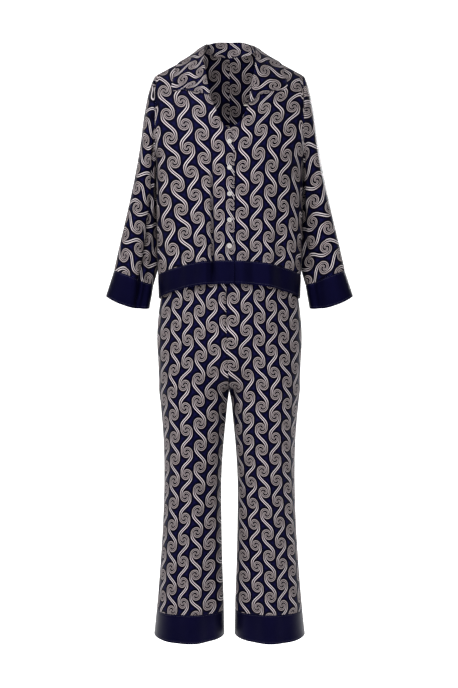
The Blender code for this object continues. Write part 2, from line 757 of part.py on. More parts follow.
def add_wall(name, points, normals, finish, ring=False):
    """A closed wall of cloth: a grid of points on its outside, the same grid moved in by
    its thickness, and rims that join the two."""
    rows, columns = points.shape[:2]
    outer = points * METRE
    inner = (points - normals * WALL) * METRE
    mesh = bmesh.new()
    out_verts = [[mesh.verts.new(point) for point in row] for row in outer]
    in_verts = [[mesh.verts.new(point) for point in row] for row in inner]
    spans = columns if ring else columns - 1
    for i in range(rows - 1):
        for j in range(spans):
            k = (j + 1) % columns
            for layer in (out_verts, in_verts):
                a, b, c, d = layer[i][j], layer[i][k], layer[i + 1][k], layer[i + 1][j]
                mesh.faces.new((a, b, c))
                mesh.faces.new((a, c, d))
    rims = [(0, j, 0, (j + 1) % columns) for j in range(spans)]
    rims += [(rows - 1, j, rows - 1, (j + 1) % columns) for j in range(spans)]
    if not ring:
        rims += [(i, 0, i + 1, 0) for i in range(rows - 1)]
        rims += [(i, columns - 1, i + 1, columns - 1) for i in range(rows - 1)]
    for i, j, m, n in rims:
        mesh.faces.new((out_verts[i][j], out_verts[m][n], in_verts[m][n]))
        mesh.faces.new((out_verts[i][j], in_verts[m][n], in_verts[i][j]))
    finish_mesh(name, mesh, finish)


def main():
    for thing in list(bpy.data.objects):
        bpy.data.objects.remove(thing, do_unlink=True)

    print_cloth = new_finish("printed_satin", (0.10, 0.09, 0.16), 0.45)
    plain_cloth = new_finish("navy_satin", (0.012, 0.012, 0.06), 0.4)
    pearl = new_finish("pearl_button", (0.8, 0.78, 0.74), 0.2)

    make_shirt_panel("shirt_front_right", RIGHT, FRONT, NECK_RIGHT, LAP, print_cloth)
    make_shirt_panel("shirt_front_left", LEFT, FRONT, NECK_LEFT, LAP, print_cloth)
    make_shirt_panel("shirt_back_right", RIGHT, BACK, NECK_BACK, 0, print_cloth)
    make_shirt_panel("shirt_back_left", LEFT, BACK, NECK_BACK, 0, print_cloth)
    make_shirt_band("hem_band_front_right", [RIGHT], FRONT, LAP, plain_cloth)
    make_shirt_band("hem_band_front_left", [LEFT], FRONT, LAP, plain_cloth)
    make_shirt_band("hem_band_back", [RIGHT, LEFT], BACK, 0, plain_cloth)
    make_collar(print_cloth)

    for side, word in ((RIGHT, "right"), (LEFT, "left")):
        make_arm(side, word, print_cloth, plain_cloth)
        make_trouser_panel("trouser_front_" + word, side, FRONT, print_cloth)
        make_trouser_panel("trouser_back_" + word, side, BACK, print_cloth)
        make_leg_band("leg_band_" + word, side, plain_cloth)
    make_waistband(print_cloth)

    for k in range(BUTTON_COUNT):
        make_button(f"button_{k + 1}", 0.0, BUTTON_TOP_Z - k * BUTTON_PITCH, SEAM, pearl)
    make_button("button_top", *TOP_BUTTON, SEAM, pearl)


main()
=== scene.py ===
"""Looks of a pyjama set, filled out as if worn: a long-sleeved shirt with a camp collar and
straight trousers, in navy satin with a running spiral and with plain navy bands.

Sizes of the garment are millimetres here, in the same frame as the solids, and METRE turns
them to metres where a mesh is made. +Z is up, the front faces -Y and the wearer's right is
at -X.
"""

import math
from collections import namedtuple

import bpy
import numpy as np
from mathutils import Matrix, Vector


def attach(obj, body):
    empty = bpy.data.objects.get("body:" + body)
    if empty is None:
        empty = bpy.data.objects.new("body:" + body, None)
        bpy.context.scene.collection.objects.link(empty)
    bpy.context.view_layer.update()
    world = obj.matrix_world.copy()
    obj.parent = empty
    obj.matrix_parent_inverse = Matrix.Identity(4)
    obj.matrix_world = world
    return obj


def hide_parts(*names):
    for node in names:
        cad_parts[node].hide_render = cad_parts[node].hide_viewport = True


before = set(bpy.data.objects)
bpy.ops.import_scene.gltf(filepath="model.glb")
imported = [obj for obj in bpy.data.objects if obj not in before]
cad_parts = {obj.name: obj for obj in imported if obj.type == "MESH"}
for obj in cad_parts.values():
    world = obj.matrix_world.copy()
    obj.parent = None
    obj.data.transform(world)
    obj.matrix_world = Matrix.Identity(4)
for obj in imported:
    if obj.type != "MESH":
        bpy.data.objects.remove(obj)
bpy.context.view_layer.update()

# ---------- the garment's form, mm

METRE = 0.001  # metres in a millimetre
WALL = 1.6  # thickness of a cloth wall
SEAM = 0.3  # gap between two pieces that are sewn together
RIGHT, LEFT = -1, 1  # sign of X on the wearer's right and left
FRONT, BACK = -1, 1  # sign of Y at the front and the back
SIDES = {RIGHT: "right", LEFT: "left"}
FACES = {FRONT: "front", BACK: "back"}

# Shirt body
UNDERARM_Z = -250.0
SHOULDER_TIP_Z = -38.0  # where the shoulder seam meets the sleeve
SHOULDER_SLOPE = 0.53  # rise of the shoulder seam for each mm towards the neck
ARMHOLE_X = 182.0
ARMHOLE_DEPTH = 0.60  # share of the body's depth that is left at the armhole
ARMHOLE_CURVE = 0.35  # share of the armhole's height that its round lower end takes
SIDE_ROUND = 2.3  # exponent of the body's oval below the arms
CHEST_ROUND = 2.5  # and of its flatter curve between the arms
ARCH = {FRONT: 1.7, BACK: 2.2}  # exponents of the curve from chest to shoulder
NECK_PARTS = {FRONT: 8 / 14, BACK: 4 / 10}  # share of a panel's columns that end at the neck
FOLDS_END, CREASES_END = ARMHOLE_X - 14, ARMHOLE_X - 2  # where they have faded out
HEM_CENTRE_Z = -566.0  # lower edge of the front hem at the centre
HEM_SIDE_DROP = 30.0  # how much lower it is at the sides
HEM_BACK_RISE = 10.0  # how much the back hem rises from side to centre
HEM_CURVE = 2.4
HEM_BAND = 56.0  # height of the hem band
LAP = 11.5  # how far each front passes the centre line
LAP_STEP = 3.2  # how far the left front lies under the right one there
LAP_EASE = 26.0  # width over which it comes back out
# Extra columns (from, to, how many) where the right front's sharp fold runs
LAP_CROWD = [(0.235, 0.33, 44)]
BAND_CROWD = [(0.22, 0.36, 26)]

# Sleeves and trousers
BODY_CLEAR = 2.2  # between a sleeve and the side of the body that it hangs against
CUFF_DROOP = 11.0  # how much lower the cuff's edge is at the front and back of the wrist
ARM_LENGTH = 550  # what the creases of a sleeve count as its length
CUFF_GAP = 0.0008  # share of that between the sleeve and its cuff
CROTCH_Z = -824.0
CROTCH_CURVE = {FRONT: 62.0, BACK: 95.0}  # height of the curved end of the centre seam
SEAT_EASE = 150.0  # height over which two legs become one seat
WAISTBAND_TOP = -490.0
WAISTBAND = 36.0
GATHERS, GATHER_DEPTH = 63, 0.9  # how many the elastic draws all round, and how deep
TROUSER_HEM_Z = -1431.0
LEG_DROOP = 9.5  # how much lower the hem is at the front and back of a leg
LEG_BAND = 61.0
SIDE_FADE = 45  # depth over which a leg's folds fade out towards its side seam and inseam
# The front seam hangs this far off the middle at the waist, and less and less down to the
# fork, where it goes 1 mm aside. The cloth beside it goes along with it.
FRONT_SEAM_ASIDE, FRONT_SEAM_TOP, FRONT_SEAM_CURVE = 8.0, -500.0, 2.54
FRONT_SEAM_REACH, FORK = 60.0, 30.0

# Collar and buttons
COLLAR_CLEAR = 1.4  # between the collar's fall and the cloth under it
STAND_MIDDLE = 0.55  # share of the stand's height where it is worked out once more
FALL_SHARES = (0.1, 0.3, 0.55, 0.8, 1.0)  # and shares of the fall
FALL_LIFT = 0.7  # share of the stand's height that the fall is held off the body at its top
COLLAR_SEAM = SEAM + 0.2  # between its stand and the neckline
BUTTON_TOP_Z = -226.0
BUTTON_PITCH = 62.5
BUTTON_COUNT = 5
BUTTON_RADIUS = 5.6
BUTTON_THICK = 2.2
TOP_BUTTON = (39.0, -143.0)  # x and z of the button at the corner of the neck
TOP_BUTTON_LEAN = math.radians(58)  # how far it leans back on its thread

# How finely the cloth is divided
SHIRT_COLUMNS, SHIRT_LOW_ROWS, SHIRT_HIGH_ROWS = 64, 65, 67
LEG_COLUMNS, LEG_ROWS, SEAT_ROWS, HIP_ROWS = 60, 125, 41, 34
SLEEVE_COLUMNS, SLEEVE_ROWS, CUFF_ROWS = 96, 120, 16
WAIST_COLUMNS, WAIST_ROWS = 504, 13
BAND_ROWS = 17
COLLAR_COLUMNS, SHOULDER_CROWD = 101, (0.44, 0.62, 30)
STAND_ROWS, TURN_ROWS, FALL_ROWS = 11, 10, 26
ROLL_ROW = STAND_ROWS - 1  # row of the collar's grid that lies on its roll line
SEAM_PLACES = [0.0025, 0.006, 0.994, 0.9975]  # extra places at each end of a run
TOO_CLOSE = 0.0012  # an extra place this near to another is left out
# Exponents that crowd the columns at a panel's centre, the rows at the fork, and the way
# that a shirt panel's columns lean from the hem to the neck
SHIRT_CROWDING, BAND_CROWDING, FORK_CROWDING, SHIRT_LEAN = 1.45, 1.2, 1.5, 1.3
# Exponents of a sine or cosine that make an oval a little fuller
SLEEVE_OVAL, LEG_OVAL, HIP_OVAL = 0.92, 0.94, 0.9
FOLD_GROWTH = 2.2  # how fast a fold deepens, going down
FADE_IN, FADE_OUT = 0.38, 0.3  # shares of a crease over which it comes and goes

# ---------- tables of sections, folds and creases, mm


def table(columns, *rows):
    """A list of rows whose numbers are read by the names of their columns."""
    kind = namedtuple("kind", columns)
    return [kind(*row) for row in rows]


TORSO = table(
    "z half_width front back",
    (-606, 176.5, 122, 114), (-540, 178.5, 121, 111), (-450, 181, 119, 107), (-350, 182, 120, 106),
    (-250, 182, 122, 109),
)

# The neckline of each front, from the neck point down to the lap, and of the back
NECK = "share x z"
NECK_RIGHT = table(
    NECK,
    (0.0, 66, 23.5), (0.2, 64, -35), (0.36, 58, -80), (0.48, 49, -108), (0.66, 35, -140),
    (0.84, 17, -180), (1.0, -LAP, -204),
)
NECK_LEFT = table(
    NECK,
    (0.0, 66, 23.5), (0.2, 65, -35), (0.38, 60, -82), (0.56, 46, -130), (0.68, 37, -154),
    (0.78, 28, -172), (0.89, 12, -185), (1.0, -LAP, -196),
)
NECK_BACK = table(
    NECK,
    (0.0, 66, 23.5), (0.3, 53, 22), (0.6, 30, 20), (1.0, 0, 20),
)

# One row for each section of a sleeve: its outer edge, the edge against the body, its half
# depth, and how far the section has turned from the shape of the armhole into an oval.
# The arm hangs a little behind the body's side, and its cuff comes forward again.
SECTION = "outer_x outer_y outer_z inner_x inner_y inner_z depth turned"
SLEEVE = table(
    SECTION,
    (199, 2, -62, 184, 4, -258, 68, 0.45), (208, 4, -100, 180, 18, -270, 68, 0.8),
    (215, 6, -150, 175, 34, -290, 67, 1), (222, 8, -205, 171, 46, -320, 65, 1),
    (233, 9, -270, 169, 50, -362, 63, 1), (246, 8, -335, 169, 48, -410, 60, 1),
    (260, 4, -400, 171, 42, -458, 55, 1), (274, -2, -462, 178, 26, -511, 49, 1),
    (288, -8, -527, 190, 4, -563, 43, 1),
)
CUFF = table(
    SECTION,
    (298, -10, -560, 195, 0, -593, 40, 1), (307.5, -12, -591, 200, -3, -621, 38, 1),
)

# The trousers round the hips: half width, and depth of the front and of the back
HIPS = table(
    "z half_width front back",
    (-824, 176, 108, 112), (-760, 180, 111, 115), (-700, 181, 113, 117), (-650, 178.5, 113, 115),
    (-600, 172.5, 111, 109.6), (-560, 166, 108, 103), (-526, 154, 102, 97), (-486, 148, 99, 94),
)

# One leg: how far its side seam and its inseam are from the middle, and its depths
LEG = table(
    "z outer inner front back",
    (-1440, 189, 12, 76, 76), (-1350, 180, 14, 77, 78), (-1250, 172, 17.5, 79, 82),
    (-1150, 166, 19.5, 83, 87), (-1050, 163, 20, 88, 93), (-950, 164.5, 14, 95, 100),
    (-900, 168, 9, 99, 104), (-850, 173, 4, 103, 108), (-824, 176, 0.15, 105, 110),
)

# The collar, from the front end of a side round to the centre back. The seam and the edge
# of the fall lie on the body, at x and a rise as body_surface takes it; the roll line is
# free.
COLLAR = "share seam_x seam_rise roll_x roll_y roll_z edge_x edge_rise"
COLLAR_RIGHT = table(
    COLLAR,
    (0.0, 49, -0.497, 47.5, -101.5, -104, 51.5, -0.502), (0.07, 53, -0.447, 50, -95, -92, 84, -0.432),
    (0.14, 56, -0.405, 53, -90, -79, 113, -0.372), (0.22, 60, -0.331, 57, -81, -56, 138, -0.333),
    (0.34, 64, -0.217, 62, -66, -24, 136, -0.162), (0.46, 66, -0.086, 63, -40, 12, 130, -0.04),
    (0.56, 66, 0.0, 60.5, -5, 36, 119, 0.0), (0.7, 56, 0.026, 51.5, 37, 49.5, 101, 0.059),
    (0.85, 31, 0.075, 31, 58, 60, 58, 0.136), (1.0, 0, 0.125, 0, 66, 62, 0, 0.209),
)
COLLAR_LEFT = table(
    COLLAR,
    (0.0, 47, -0.577, 45, -104.5, -125, 49, -0.579), (0.07, 51, -0.527, 48, -99, -111, 70, -0.491),
    (0.14, 56, -0.455, 52, -93, -92, 96, -0.41), (0.22, 60, -0.371, 57, -85, -66, 135, -0.325),
    (0.34, 64, -0.235, 63, -69, -27, 136, -0.154), (0.46, 66, -0.086, 65, -40, 12, 130, -0.04),
    (0.56, 66, 0.0, 63.5, -5, 32, 119, 0.0), (0.7, 56, 0.026, 53, 37, 48, 101, 0.059),
    (0.85, 31, 0.075, 31, 58, 60, 58, 0.136), (1.0, 0, 0.125, 0, 66, 62, 0, 0.209),
)

# Soft upright folds: valleys where depth is positive, ridges where it is negative. x is
# given where the fold starts and where it ends, going down, and width is half its width.
FOLD = "x_top z_top x_end z_end depth width"
SHIRT_FOLDS = {}
SHIRT_FOLDS[FRONT] = table(
    FOLD,
    (-46, -310, -40, -610, 6.0, 13), (-62, -330, -66, -610, -3.5, 16), (-112, -380, -131, -610, 7.0, 20),
    (-6, -470, -8, -610, 3.6, 18), (18, -470, 22, -610, -3.0, 12), (54, -340, 61, -610, 5.5, 17),
    (92, -360, 97, -610, -4.0, 17), (118, -350, 133, -610, 7.0, 18),
)
SHIRT_FOLDS[BACK] = table(
    FOLD,
    (-118, -330, -128, -610, 6.5, 20), (-66, -250, -72, -610, -4.0, 20), (-22, -220, -26, -610, 6.0, 17),
    (34, -260, 38, -610, -4.0, 18), (76, -240, 84, -610, 6.0, 18), (126, -350, 138, -610, 6.0, 16),
)
LEG_FOLDS = {}
LEG_FOLDS[FRONT] = table(
    FOLD,
    (-118, -860, -126, -1440, 4.0, 20), (-58, -900, -52, -1440, 4.5, 18), (52, -880, 60, -1440, 5.5, 22),
    (122, -930, 134, -1440, 4.0, 18),
)
LEG_FOLDS[BACK] = table(
    FOLD,
    (-112, -800, -120, -1440, 5.0, 20), (-50, -850, -62, -1440, 4.0, 18), (58, -840, 56, -1440, 5.0, 20),
    (116, -820, 128, -1440, 4.5, 20),
)

# The sleeve's two long folds, where the cloth sinks in beside the body and at the elbow.
# turn is the place round the sleeve in degrees from the underarm, by way of the front.
SLEEVE_FOLDS = table(
    "turn_top turn_end from_share depth width",
    (52, 44, 0.10, 9.0, 13), (78, 62, 0.45, 6.0, 12), (286, 300, 0.15, 8.0, 14),
    (238, 246, 0.40, 5.0, 13),
)

# Soft troughs where depth is positive and ridges where it is negative, drawn as lines from
# one place to another on the front or the back, in mm of x and z. width is half the width.
CREASE = "x_from z_from x_to z_to depth width"
SHIRT_CREASES = {}
SHIRT_CREASES[FRONT] = table(
    CREASE,
    (-44, -215, -40, -606, 9.0, 3.0), (-31, -330, -27, -640, -1.6, 9), (-58, -300, -55, -640, -1.8, 10),
    (-176, -262, -128, -330, 2.4, 9), (-178, -285, -140, -372, -1.6, 8), (176, -268, 134, -322, 2.2, 9),
    (178, -300, 148, -385, -1.5, 8), (-176, -150, -150, -235, 2.0, 9), (177, -140, 155, -228, 1.8, 9),
    (-84, -470, -93, -640, 1.8, 11), (84, -430, 78, -640, 1.6, 10), (24, -235, 60, -262, 0.9, 8),
    (26, -300, 70, -318, 0.9, 9), (22, -362, 58, -392, 0.8, 8), (-70, -238, -26, -228, 0.8, 7),
)
SHIRT_CREASES[BACK] = table(
    CREASE,
    (-176, -262, -120, -345, 2.6, 10), (176, -266, 126, -338, 2.3, 10), (-172, -120, -142, -236, 2.2, 11),
    (172, -132, 146, -222, 2.0, 10), (-92, -300, -104, -640, 2.2, 12), (14, -330, 8, -640, 2.0, 11),
    (56, -390, 60, -640, 1.8, 10), (-46, -430, -44, -640, -1.6, 10), (108, -340, 116, -640, -1.8, 12),
)
LEG_CREASES = {}
LEG_CREASES[FRONT] = table(
    CREASE,
    (0, -500, 0, -860, 3.4, 4.5), (3, -770, 20, -930, 3.2, 6), (-3, -770, -20, -930, 3.2, 6),
    (6, -792, 58, -770, 2.2, 9), (8, -812, 74, -826, 2.4, 10), (14, -838, 66, -880, 2.0, 10),
    (-6, -794, -52, -768, 2.0, 9), (-8, -815, -78, -832, 2.2, 10), (-14, -842, -60, -892, 1.8, 10),
    (48, -1010, 112, -1032, 1.4, 12), (-46, -1046, -104, -1028, 1.2, 12),
    (-92, -900, -88, -1130, -1.4, 16), (96, -930, 92, -1180, -1.4, 16),
)
LEG_CREASES[BACK] = table(
    CREASE,
    (6, -800, 70, -768, 2.4, 10), (8, -826, 82, -832, 2.6, 11), (-6, -802, -66, -770, 2.4, 10),
    (-8, -828, -86, -838, 2.6, 11), (44, -1000, 120, -1018, 1.8, 11), (52, -1040, 116, -1062, 1.5, 11),
    (-46, -1006, -118, -1022, 1.8, 11), (-50, -1052, -108, -1046, 1.4, 11),
    (86, -860, 90, -990, -1.5, 15), (-84, -870, -90, -1010, -1.5, 15),
)
# The same round a sleeve: degrees from the underarm by way of the front, and mm down it.
ARM_CREASE = "turn_from down_from turn_to down_to depth width"
ARM_CREASES = table(
    ARM_CREASE,
    (18, 28, 92, 112, 2.4, 8), (22, 94, 104, 182, 2.0, 8), (96, 198, 34, 262, 2.2, 8),
    (120, 242, 40, 306, 2.4, 8), (104, 310, 48, 345, 1.6, 7), (128, 385, 72, 440, 1.4, 8),
    (340, 33, 268, 105, 2.6, 9), (332, 165, 250, 220, 2.2, 9), (322, 253, 244, 308, 2.4, 8),
    (318, 341, 262, 385, 1.8, 8), (150, 55, 156, 341, 1.6, 12), (212, 110, 204, 440, -1.4, 13),
)
# One deep fold runs down the wearer's right sleeve, where it is squeezed against the body.
RIGHT_ARM_CREASES = table(
    ARM_CREASE,
    (84, -160, 60, 640, 12.0, 5.5), (62, -60, 42, 560, -2.0, 8),
)


# ---------- numbers


def eased(t):
    """Rises smoothly from 0 at 0 to 1 at 1."""
    t = np.clip(t, 0, 1)
    return t * t * (3 - 2 * t)


def quarter_arc(t):
    """Rises from 0 to 1 like the first quarter of a circle, upright at 0 and level at 1."""
    return np.sqrt(1 - (1 - np.clip(t, 0, 1)) ** 2)


def rounded(wave, power):
    """A sine or cosine with fuller crests."""
    return np.sign(wave) * np.abs(wave) ** power


def bump(aside, width):
    """1 on a line, and fading out beside it."""
    return np.exp(-((aside / width) ** 2))


def curved(values, slopes, low, t, span=1):
    """A smooth curve through values, at the share t of the way from one to the next."""
    sway = span * (slopes[low] * (1 - t) - slopes[low + 1] * t)
    return values[low] + (values[low + 1] - values[low]) * eased(t) + t * (1 - t) * sway


def along(rows, column, at, key="z"):
    """A column of a table, read anywhere between its rows."""
    rows = sorted(rows, key=lambda row: getattr(row, key))
    keys, values = [np.array([getattr(row, name) for row in rows], float) for name in (key, column)]
    at = np.clip(np.asarray(at, float), keys[0], keys[-1])
    low = np.clip(np.searchsorted(keys, at, side="right") - 1, 0, len(keys) - 2)
    span = keys[low + 1] - keys[low]
    return curved(values, np.gradient(values, keys), low, (at - keys[low]) / span, span)


def between(rings, at):
    """A list of rings or rows of points, read anywhere between its members."""
    rings = np.asarray(rings, float)
    low = np.clip(np.floor(at).astype(int), 0, len(rings) - 2)
    return curved(rings, np.gradient(rings, axis=0), low, (at - low)[:, None, None])


def unit(vectors):
    return vectors / np.maximum(np.linalg.norm(vectors, axis=-1, keepdims=True), 1e-9)


def closed(grid):
    """A ring with its first column once more at its end."""
    return np.concatenate([grid, grid[:, :1]], axis=1)


def added_up(steps, axis):
    """Running totals of the steps along an axis, from 0."""
    start = np.zeros_like(steps[:1] if axis == 0 else steps[:, :1])
    return np.concatenate([start, np.cumsum(steps, axis=axis)], axis=axis)


def run_of(points, axis):
    """Length along the cloth from the first row or column to each of the others."""
    return added_up(np.linalg.norm(np.diff(points, axis=axis), axis=-1), axis)


def grid_normals(points, ring=False):
    """Unit normals of a grid of points, rows by columns. A ring's last column joins its
    first."""
    if ring:
        across = np.roll(points, -1, axis=1) - np.roll(points, 1, axis=1)
    else:
        across = np.gradient(points, axis=1)
    return unit(np.cross(across, np.gradient(points, axis=0)))


def outward(points, ring=False):
    """Normals of an upright piece, turned to face away from the garment's middle."""
    normals = grid_normals(points, ring)
    away = points - (points.reshape(-1, 3).mean(axis=0) if ring else 0)
    away[..., 2] = 0
    return normals if (normals * away).sum() > 0 else -normals


def panel_normals(points, face):
    """Normals of half a leg, turned to the front or to the back."""
    normals = grid_normals(points)
    return normals if (normals[..., 1] * face).sum() > 0 else -normals


def push_in(points, normals, amount):
    return points - normals * amount[..., None]


def spread(count, crowded=()):
    """Places from 0 to 1: an even run, two closer ones at each end for the seams, and a
    crowd of them wherever a sharp fold needs it, given as (from, to, how many)."""
    places = [np.linspace(0, 1, count + 1), SEAM_PLACES]
    places += [np.linspace(*crowd) for crowd in crowded]
    places = np.sort(np.concatenate(places))
    keep = np.concatenate([[True], np.diff(places) > TOO_CLOSE])
    keep[-1] = True
    return places[keep]


def fold_depth(folds, x, z):
    """How far the folds push the cloth in at a place, seen from the front or the back."""
    total = 0
    for fold in folds:
        down = np.clip((fold.z_top - z) / (fold.z_top - fold.z_end), 0, 1)
        middle = fold.x_top + (fold.x_end - fold.x_top) * down
        total = total + fold.depth * eased(down * FOLD_GROWTH) * bump(x - middle, fold.width)
    return total


def crease_depth(creases, across, down):
    """The same for creases, which run at any slant and fade out at both ends."""
    total = 0
    for crease in creases:
        start, end = np.array(crease[0:2], float), np.array(crease[2:4], float)
        run = end - start
        length = np.hypot(*run)
        place = ((across - start[0]) * run[0] + (down - start[1]) * run[1]) / length
        aside = ((across - start[0]) * run[1] - (down - start[1]) * run[0]) / length
        place = place / length
        fade = eased(place / FADE_IN) * eased((1 - place) / FADE_OUT)
        total = total + crease.depth * fade * bump(aside, crease.width)
    return total


# ---------- shirt body


def shoulder_height(x):
    return SHOULDER_TIP_Z + SHOULDER_SLOPE * (ARMHOLE_X - np.abs(x))


def body_depth(across, z, face):
    """How far the body's cloth is from the plane of its side seams. across is 0 at the
    centre line and 1 at the side seam or armhole."""
    across = np.clip(np.abs(across), 0, 1)
    top = shoulder_height(across * ARMHOLE_X)
    height = np.clip((z - UNDERARM_Z) / (top - UNDERARM_Z), 0, 1)
    arch = (1 - height ** ARCH[face]) ** (1 / ARCH[face])
    rounder = (1 - across**SIDE_ROUND) ** (1 / SIDE_ROUND)
    flatter = ARMHOLE_DEPTH + (1 - ARMHOLE_DEPTH) * (1 - across**CHEST_ROUND)
    flat_share = quarter_arc(height / ARMHOLE_CURVE)
    return along(TORSO, FACES[face], z) * arch * (rounder + (flatter - rounder) * flat_share)


def body_point(side, across, z, face):
    """A point on the outside of the shirt's body. A negative across lies past the centre."""
    x = side * across * along(TORSO, "half_width", z)
    y = face * np.maximum(body_depth(across, z, face), SEAM / 2)
    return np.stack([x, y, np.broadcast_to(z, x.shape)], axis=-1)


def body_surface(x, rise, side):
    """The body's cloth over the shoulder. rise is -1 at underarm height in front, 0 on
    the shoulder line and 1 at underarm height behind."""
    top = shoulder_height(x)
    z = top + (UNDERARM_Z - top) * np.abs(rise)
    front, back = [face * body_depth(x / ARMHOLE_X, z, face) for face in FACES]
    return np.stack([side * x, np.where(rise < 0, front, back), z], axis=-1)


def surface_normal(x, rise, side):
    """Outward normal of body_surface, from two small steps along it."""
    step_x, step_rise = 1.5, 0.01
    in_x = body_surface(x + step_x, rise, side) - body_surface(x - step_x, rise, side)
    in_rise = body_surface(x, rise + step_rise, side) - body_surface(x, rise - step_rise, side)
    return unit(side * np.cross(in_x, in_rise))


def hem_height(across, face):
    """Lower edge of the shirt."""
    rise = HEM_SIDE_DROP if face == FRONT else HEM_BACK_RISE
    return HEM_CENTRE_Z - HEM_SIDE_DROP + rise * (1 - np.clip(np.abs(across), 0, 1) ** HEM_CURVE)


def shirt_folds(points, side, face):
    """Lays the folds and creases on a shirt piece. They fade out towards the side seam, and
    the left front goes in where the right one lies over it."""
    x, z = points[..., 0], points[..., 2]
    aside = np.abs(x)
    amount = fold_depth(SHIRT_FOLDS[face], x, z) * (1 - np.clip(aside / FOLDS_END, 0, 1) ** 8)
    creases = crease_depth(SHIRT_CREASES[face], x, z)
    amount = amount + creases * (1 - np.clip(aside / CREASES_END, 0, 1) ** 14)
    if (side, face) == (LEFT, FRONT):
        amount = amount + LAP_STEP * (1 - eased((x - LAP) / LAP_EASE))
    return push_in(points, outward(points), amount)


def shirt_panel(side, face, neckline, lap, crowded=()):
    """Points of a front or back panel, rows from the hem seam up to the neck and shoulder,
    columns from the centre line out."""
    side_seam = HEM_CENTRE_Z - HEM_SIDE_DROP + HEM_BAND + SEAM
    underarm = (UNDERARM_Z - side_seam) / (SHOULDER_TIP_Z - side_seam)
    low = np.linspace(0, underarm, SHIRT_LOW_ROWS + 1)[:-1]
    high = underarm + (1 - underarm) * (1 - np.cos(np.linspace(0, math.pi, SHIRT_HIGH_ROWS))) / 2
    t = np.concatenate([low, high])[:, None]
    share = spread(SHIRT_COLUMNS, crowded)
    past_neck = (share - NECK_PARTS[face]) / (1 - NECK_PARTS[face])
    neck_x, neck_z = [along(neckline, key, 1 - share / NECK_PARTS[face], "share") for key in "xz"]
    shoulder_x = neckline[0].x + (ARMHOLE_X - neckline[0].x) * np.clip(past_neck, 0, 1)
    top_across = np.where(past_neck <= 0, neck_x, shoulder_x) / ARMHOLE_X
    top_z = np.where(past_neck <= 0, neck_z, shoulder_height(shoulder_x))
    low_across = np.sin(math.pi / 2 * share**SHIRT_CROWDING) - lap / ARMHOLE_X * (1 - share) ** 2
    low_z = hem_height(low_across, face) + HEM_BAND + SEAM
    across = low_across + (top_across - low_across) * t**SHIRT_LEAN
    across[:, -1] = 1
    points = shirt_folds(body_point(side, across, low_z + (top_z - low_z) * t, face), side, face)
    if face == BACK:
        points[:, 0, 0] = 0
    return points


def shirt_band(sides, face, lap):
    """Points of a hem band: it carries the panel's surface on down to the hem."""
    halves = []
    for side in sides:
        share = spread(SHIRT_COLUMNS, BAND_CROWD if (side, face) == (RIGHT, FRONT) else ())
        across = np.sin(math.pi / 2 * share**BAND_CROWDING) - lap / ARMHOLE_X * (1 - share) ** 2
        z = hem_height(across, face) + HEM_BAND * np.linspace(0, 1, BAND_ROWS)[:, None]
        halves.append(body_point(side, np.broadcast_to(across, z.shape), z, face))
    if len(sides) == 2:
        halves = [np.concatenate([halves[0][:, ::-1], halves[1][:, 1:]], axis=1)]
    return shirt_folds(halves[0], sides[0], face)


# ---------- sleeves

ARM_SHARE = len(SLEEVE) / (len(SLEEVE) + len(CUFF))  # where the cuff's seam is


def armhole_ring(turns):
    """The sleeve's first ring: the body's own armhole, from the underarm by way of the
    front over the shoulder and back down."""
    z = UNDERARM_Z + (SHOULDER_TIP_Z - UNDERARM_Z) * (1 - np.cos(turns)) / 2
    y = np.where(turns <= math.pi, -body_depth(1, z, FRONT), body_depth(1, z, BACK))
    return np.stack([np.full(z.shape, ARMHOLE_X + SEAM), y, z], axis=-1)


def sleeve_ring(row, turns):
    """An oval round a sleeve's section. turns are angles from the underarm by way of the
    front."""
    outer, inner = np.array(row[0:3], float), np.array(row[3:6], float)
    across, depth = rounded(np.cos(turns), SLEEVE_OVAL), rounded(np.sin(turns), SLEEVE_OVAL)
    reach = (inner - outer) / 2
    return (outer + inner) / 2 + reach * across[:, None] + np.array([0, -row.depth, 0]) * depth[:, None]


def clear_of_body(points):
    """Moves what would reach into the body's side, or lie too near it, out to its clearance."""
    x, y, z = np.moveaxis(points, -1, 0)
    half_width = along(TORSO, "half_width", z) + BODY_CLEAR
    depth = np.where(y < 0, along(TORSO, "front", z), along(TORSO, "back", z)) + BODY_CLEAR
    oval = (x / half_width) ** SIDE_ROUND + (np.abs(y) / depth) ** SIDE_ROUND
    grow = 1 / np.clip(oval ** (1 / SIDE_ROUND), 0.5, 1)
    below = z < UNDERARM_Z
    x = np.where(below, x * grow, np.maximum(x, ARMHOLE_X + SEAM))
    return np.stack([x, np.where(below, y * grow, y), z], axis=-1)


def arm(share, turns, creases):
    """Points round the wearer's left sleeve and its cuff. share is 0 at the armhole and 1
    at the cuff's edge."""
    hole = armhole_ring(turns)
    rings = [hole + (sleeve_ring(row, turns) - hole) * row.turned for row in SLEEVE + CUFF]
    rings.insert(0, hole)
    at = share * (len(rings) - 1)
    points = between(rings, at)
    droop = np.clip((at - len(SLEEVE)) / len(CUFF), 0, 1)[:, None]
    points[..., 2] -= CUFF_DROOP * droop * np.sin(turns) ** 2
    degrees = np.degrees(turns)[None, :]
    down = share[:, None]
    amount = crease_depth(creases, degrees, down * ARM_LENGTH)
    for fold in SLEEVE_FOLDS:
        on = np.clip((down - fold.from_share) / (1 - fold.from_share), 0, 1)
        middle = fold.turn_top + (fold.turn_end - fold.turn_top) * on
        amount = amount + fold.depth * eased(on * 3) * bump(degrees - middle, fold.width)
    points = push_in(points, outward(points, ring=True), amount * eased(down * 30))
    moved = clear_of_body(points)
    moved[0] = np.where(down[0] == 0, hole, moved[0])
    return moved


# ---------- trousers


def hip_point(share, z, face):
    angle = share * math.pi / 2
    x = along(HIPS, "half_width", z) * np.sin(angle)
    return x, face * along(HIPS, FACES[face], z) * np.clip(np.cos(angle), 0, 1) ** HIP_OVAL


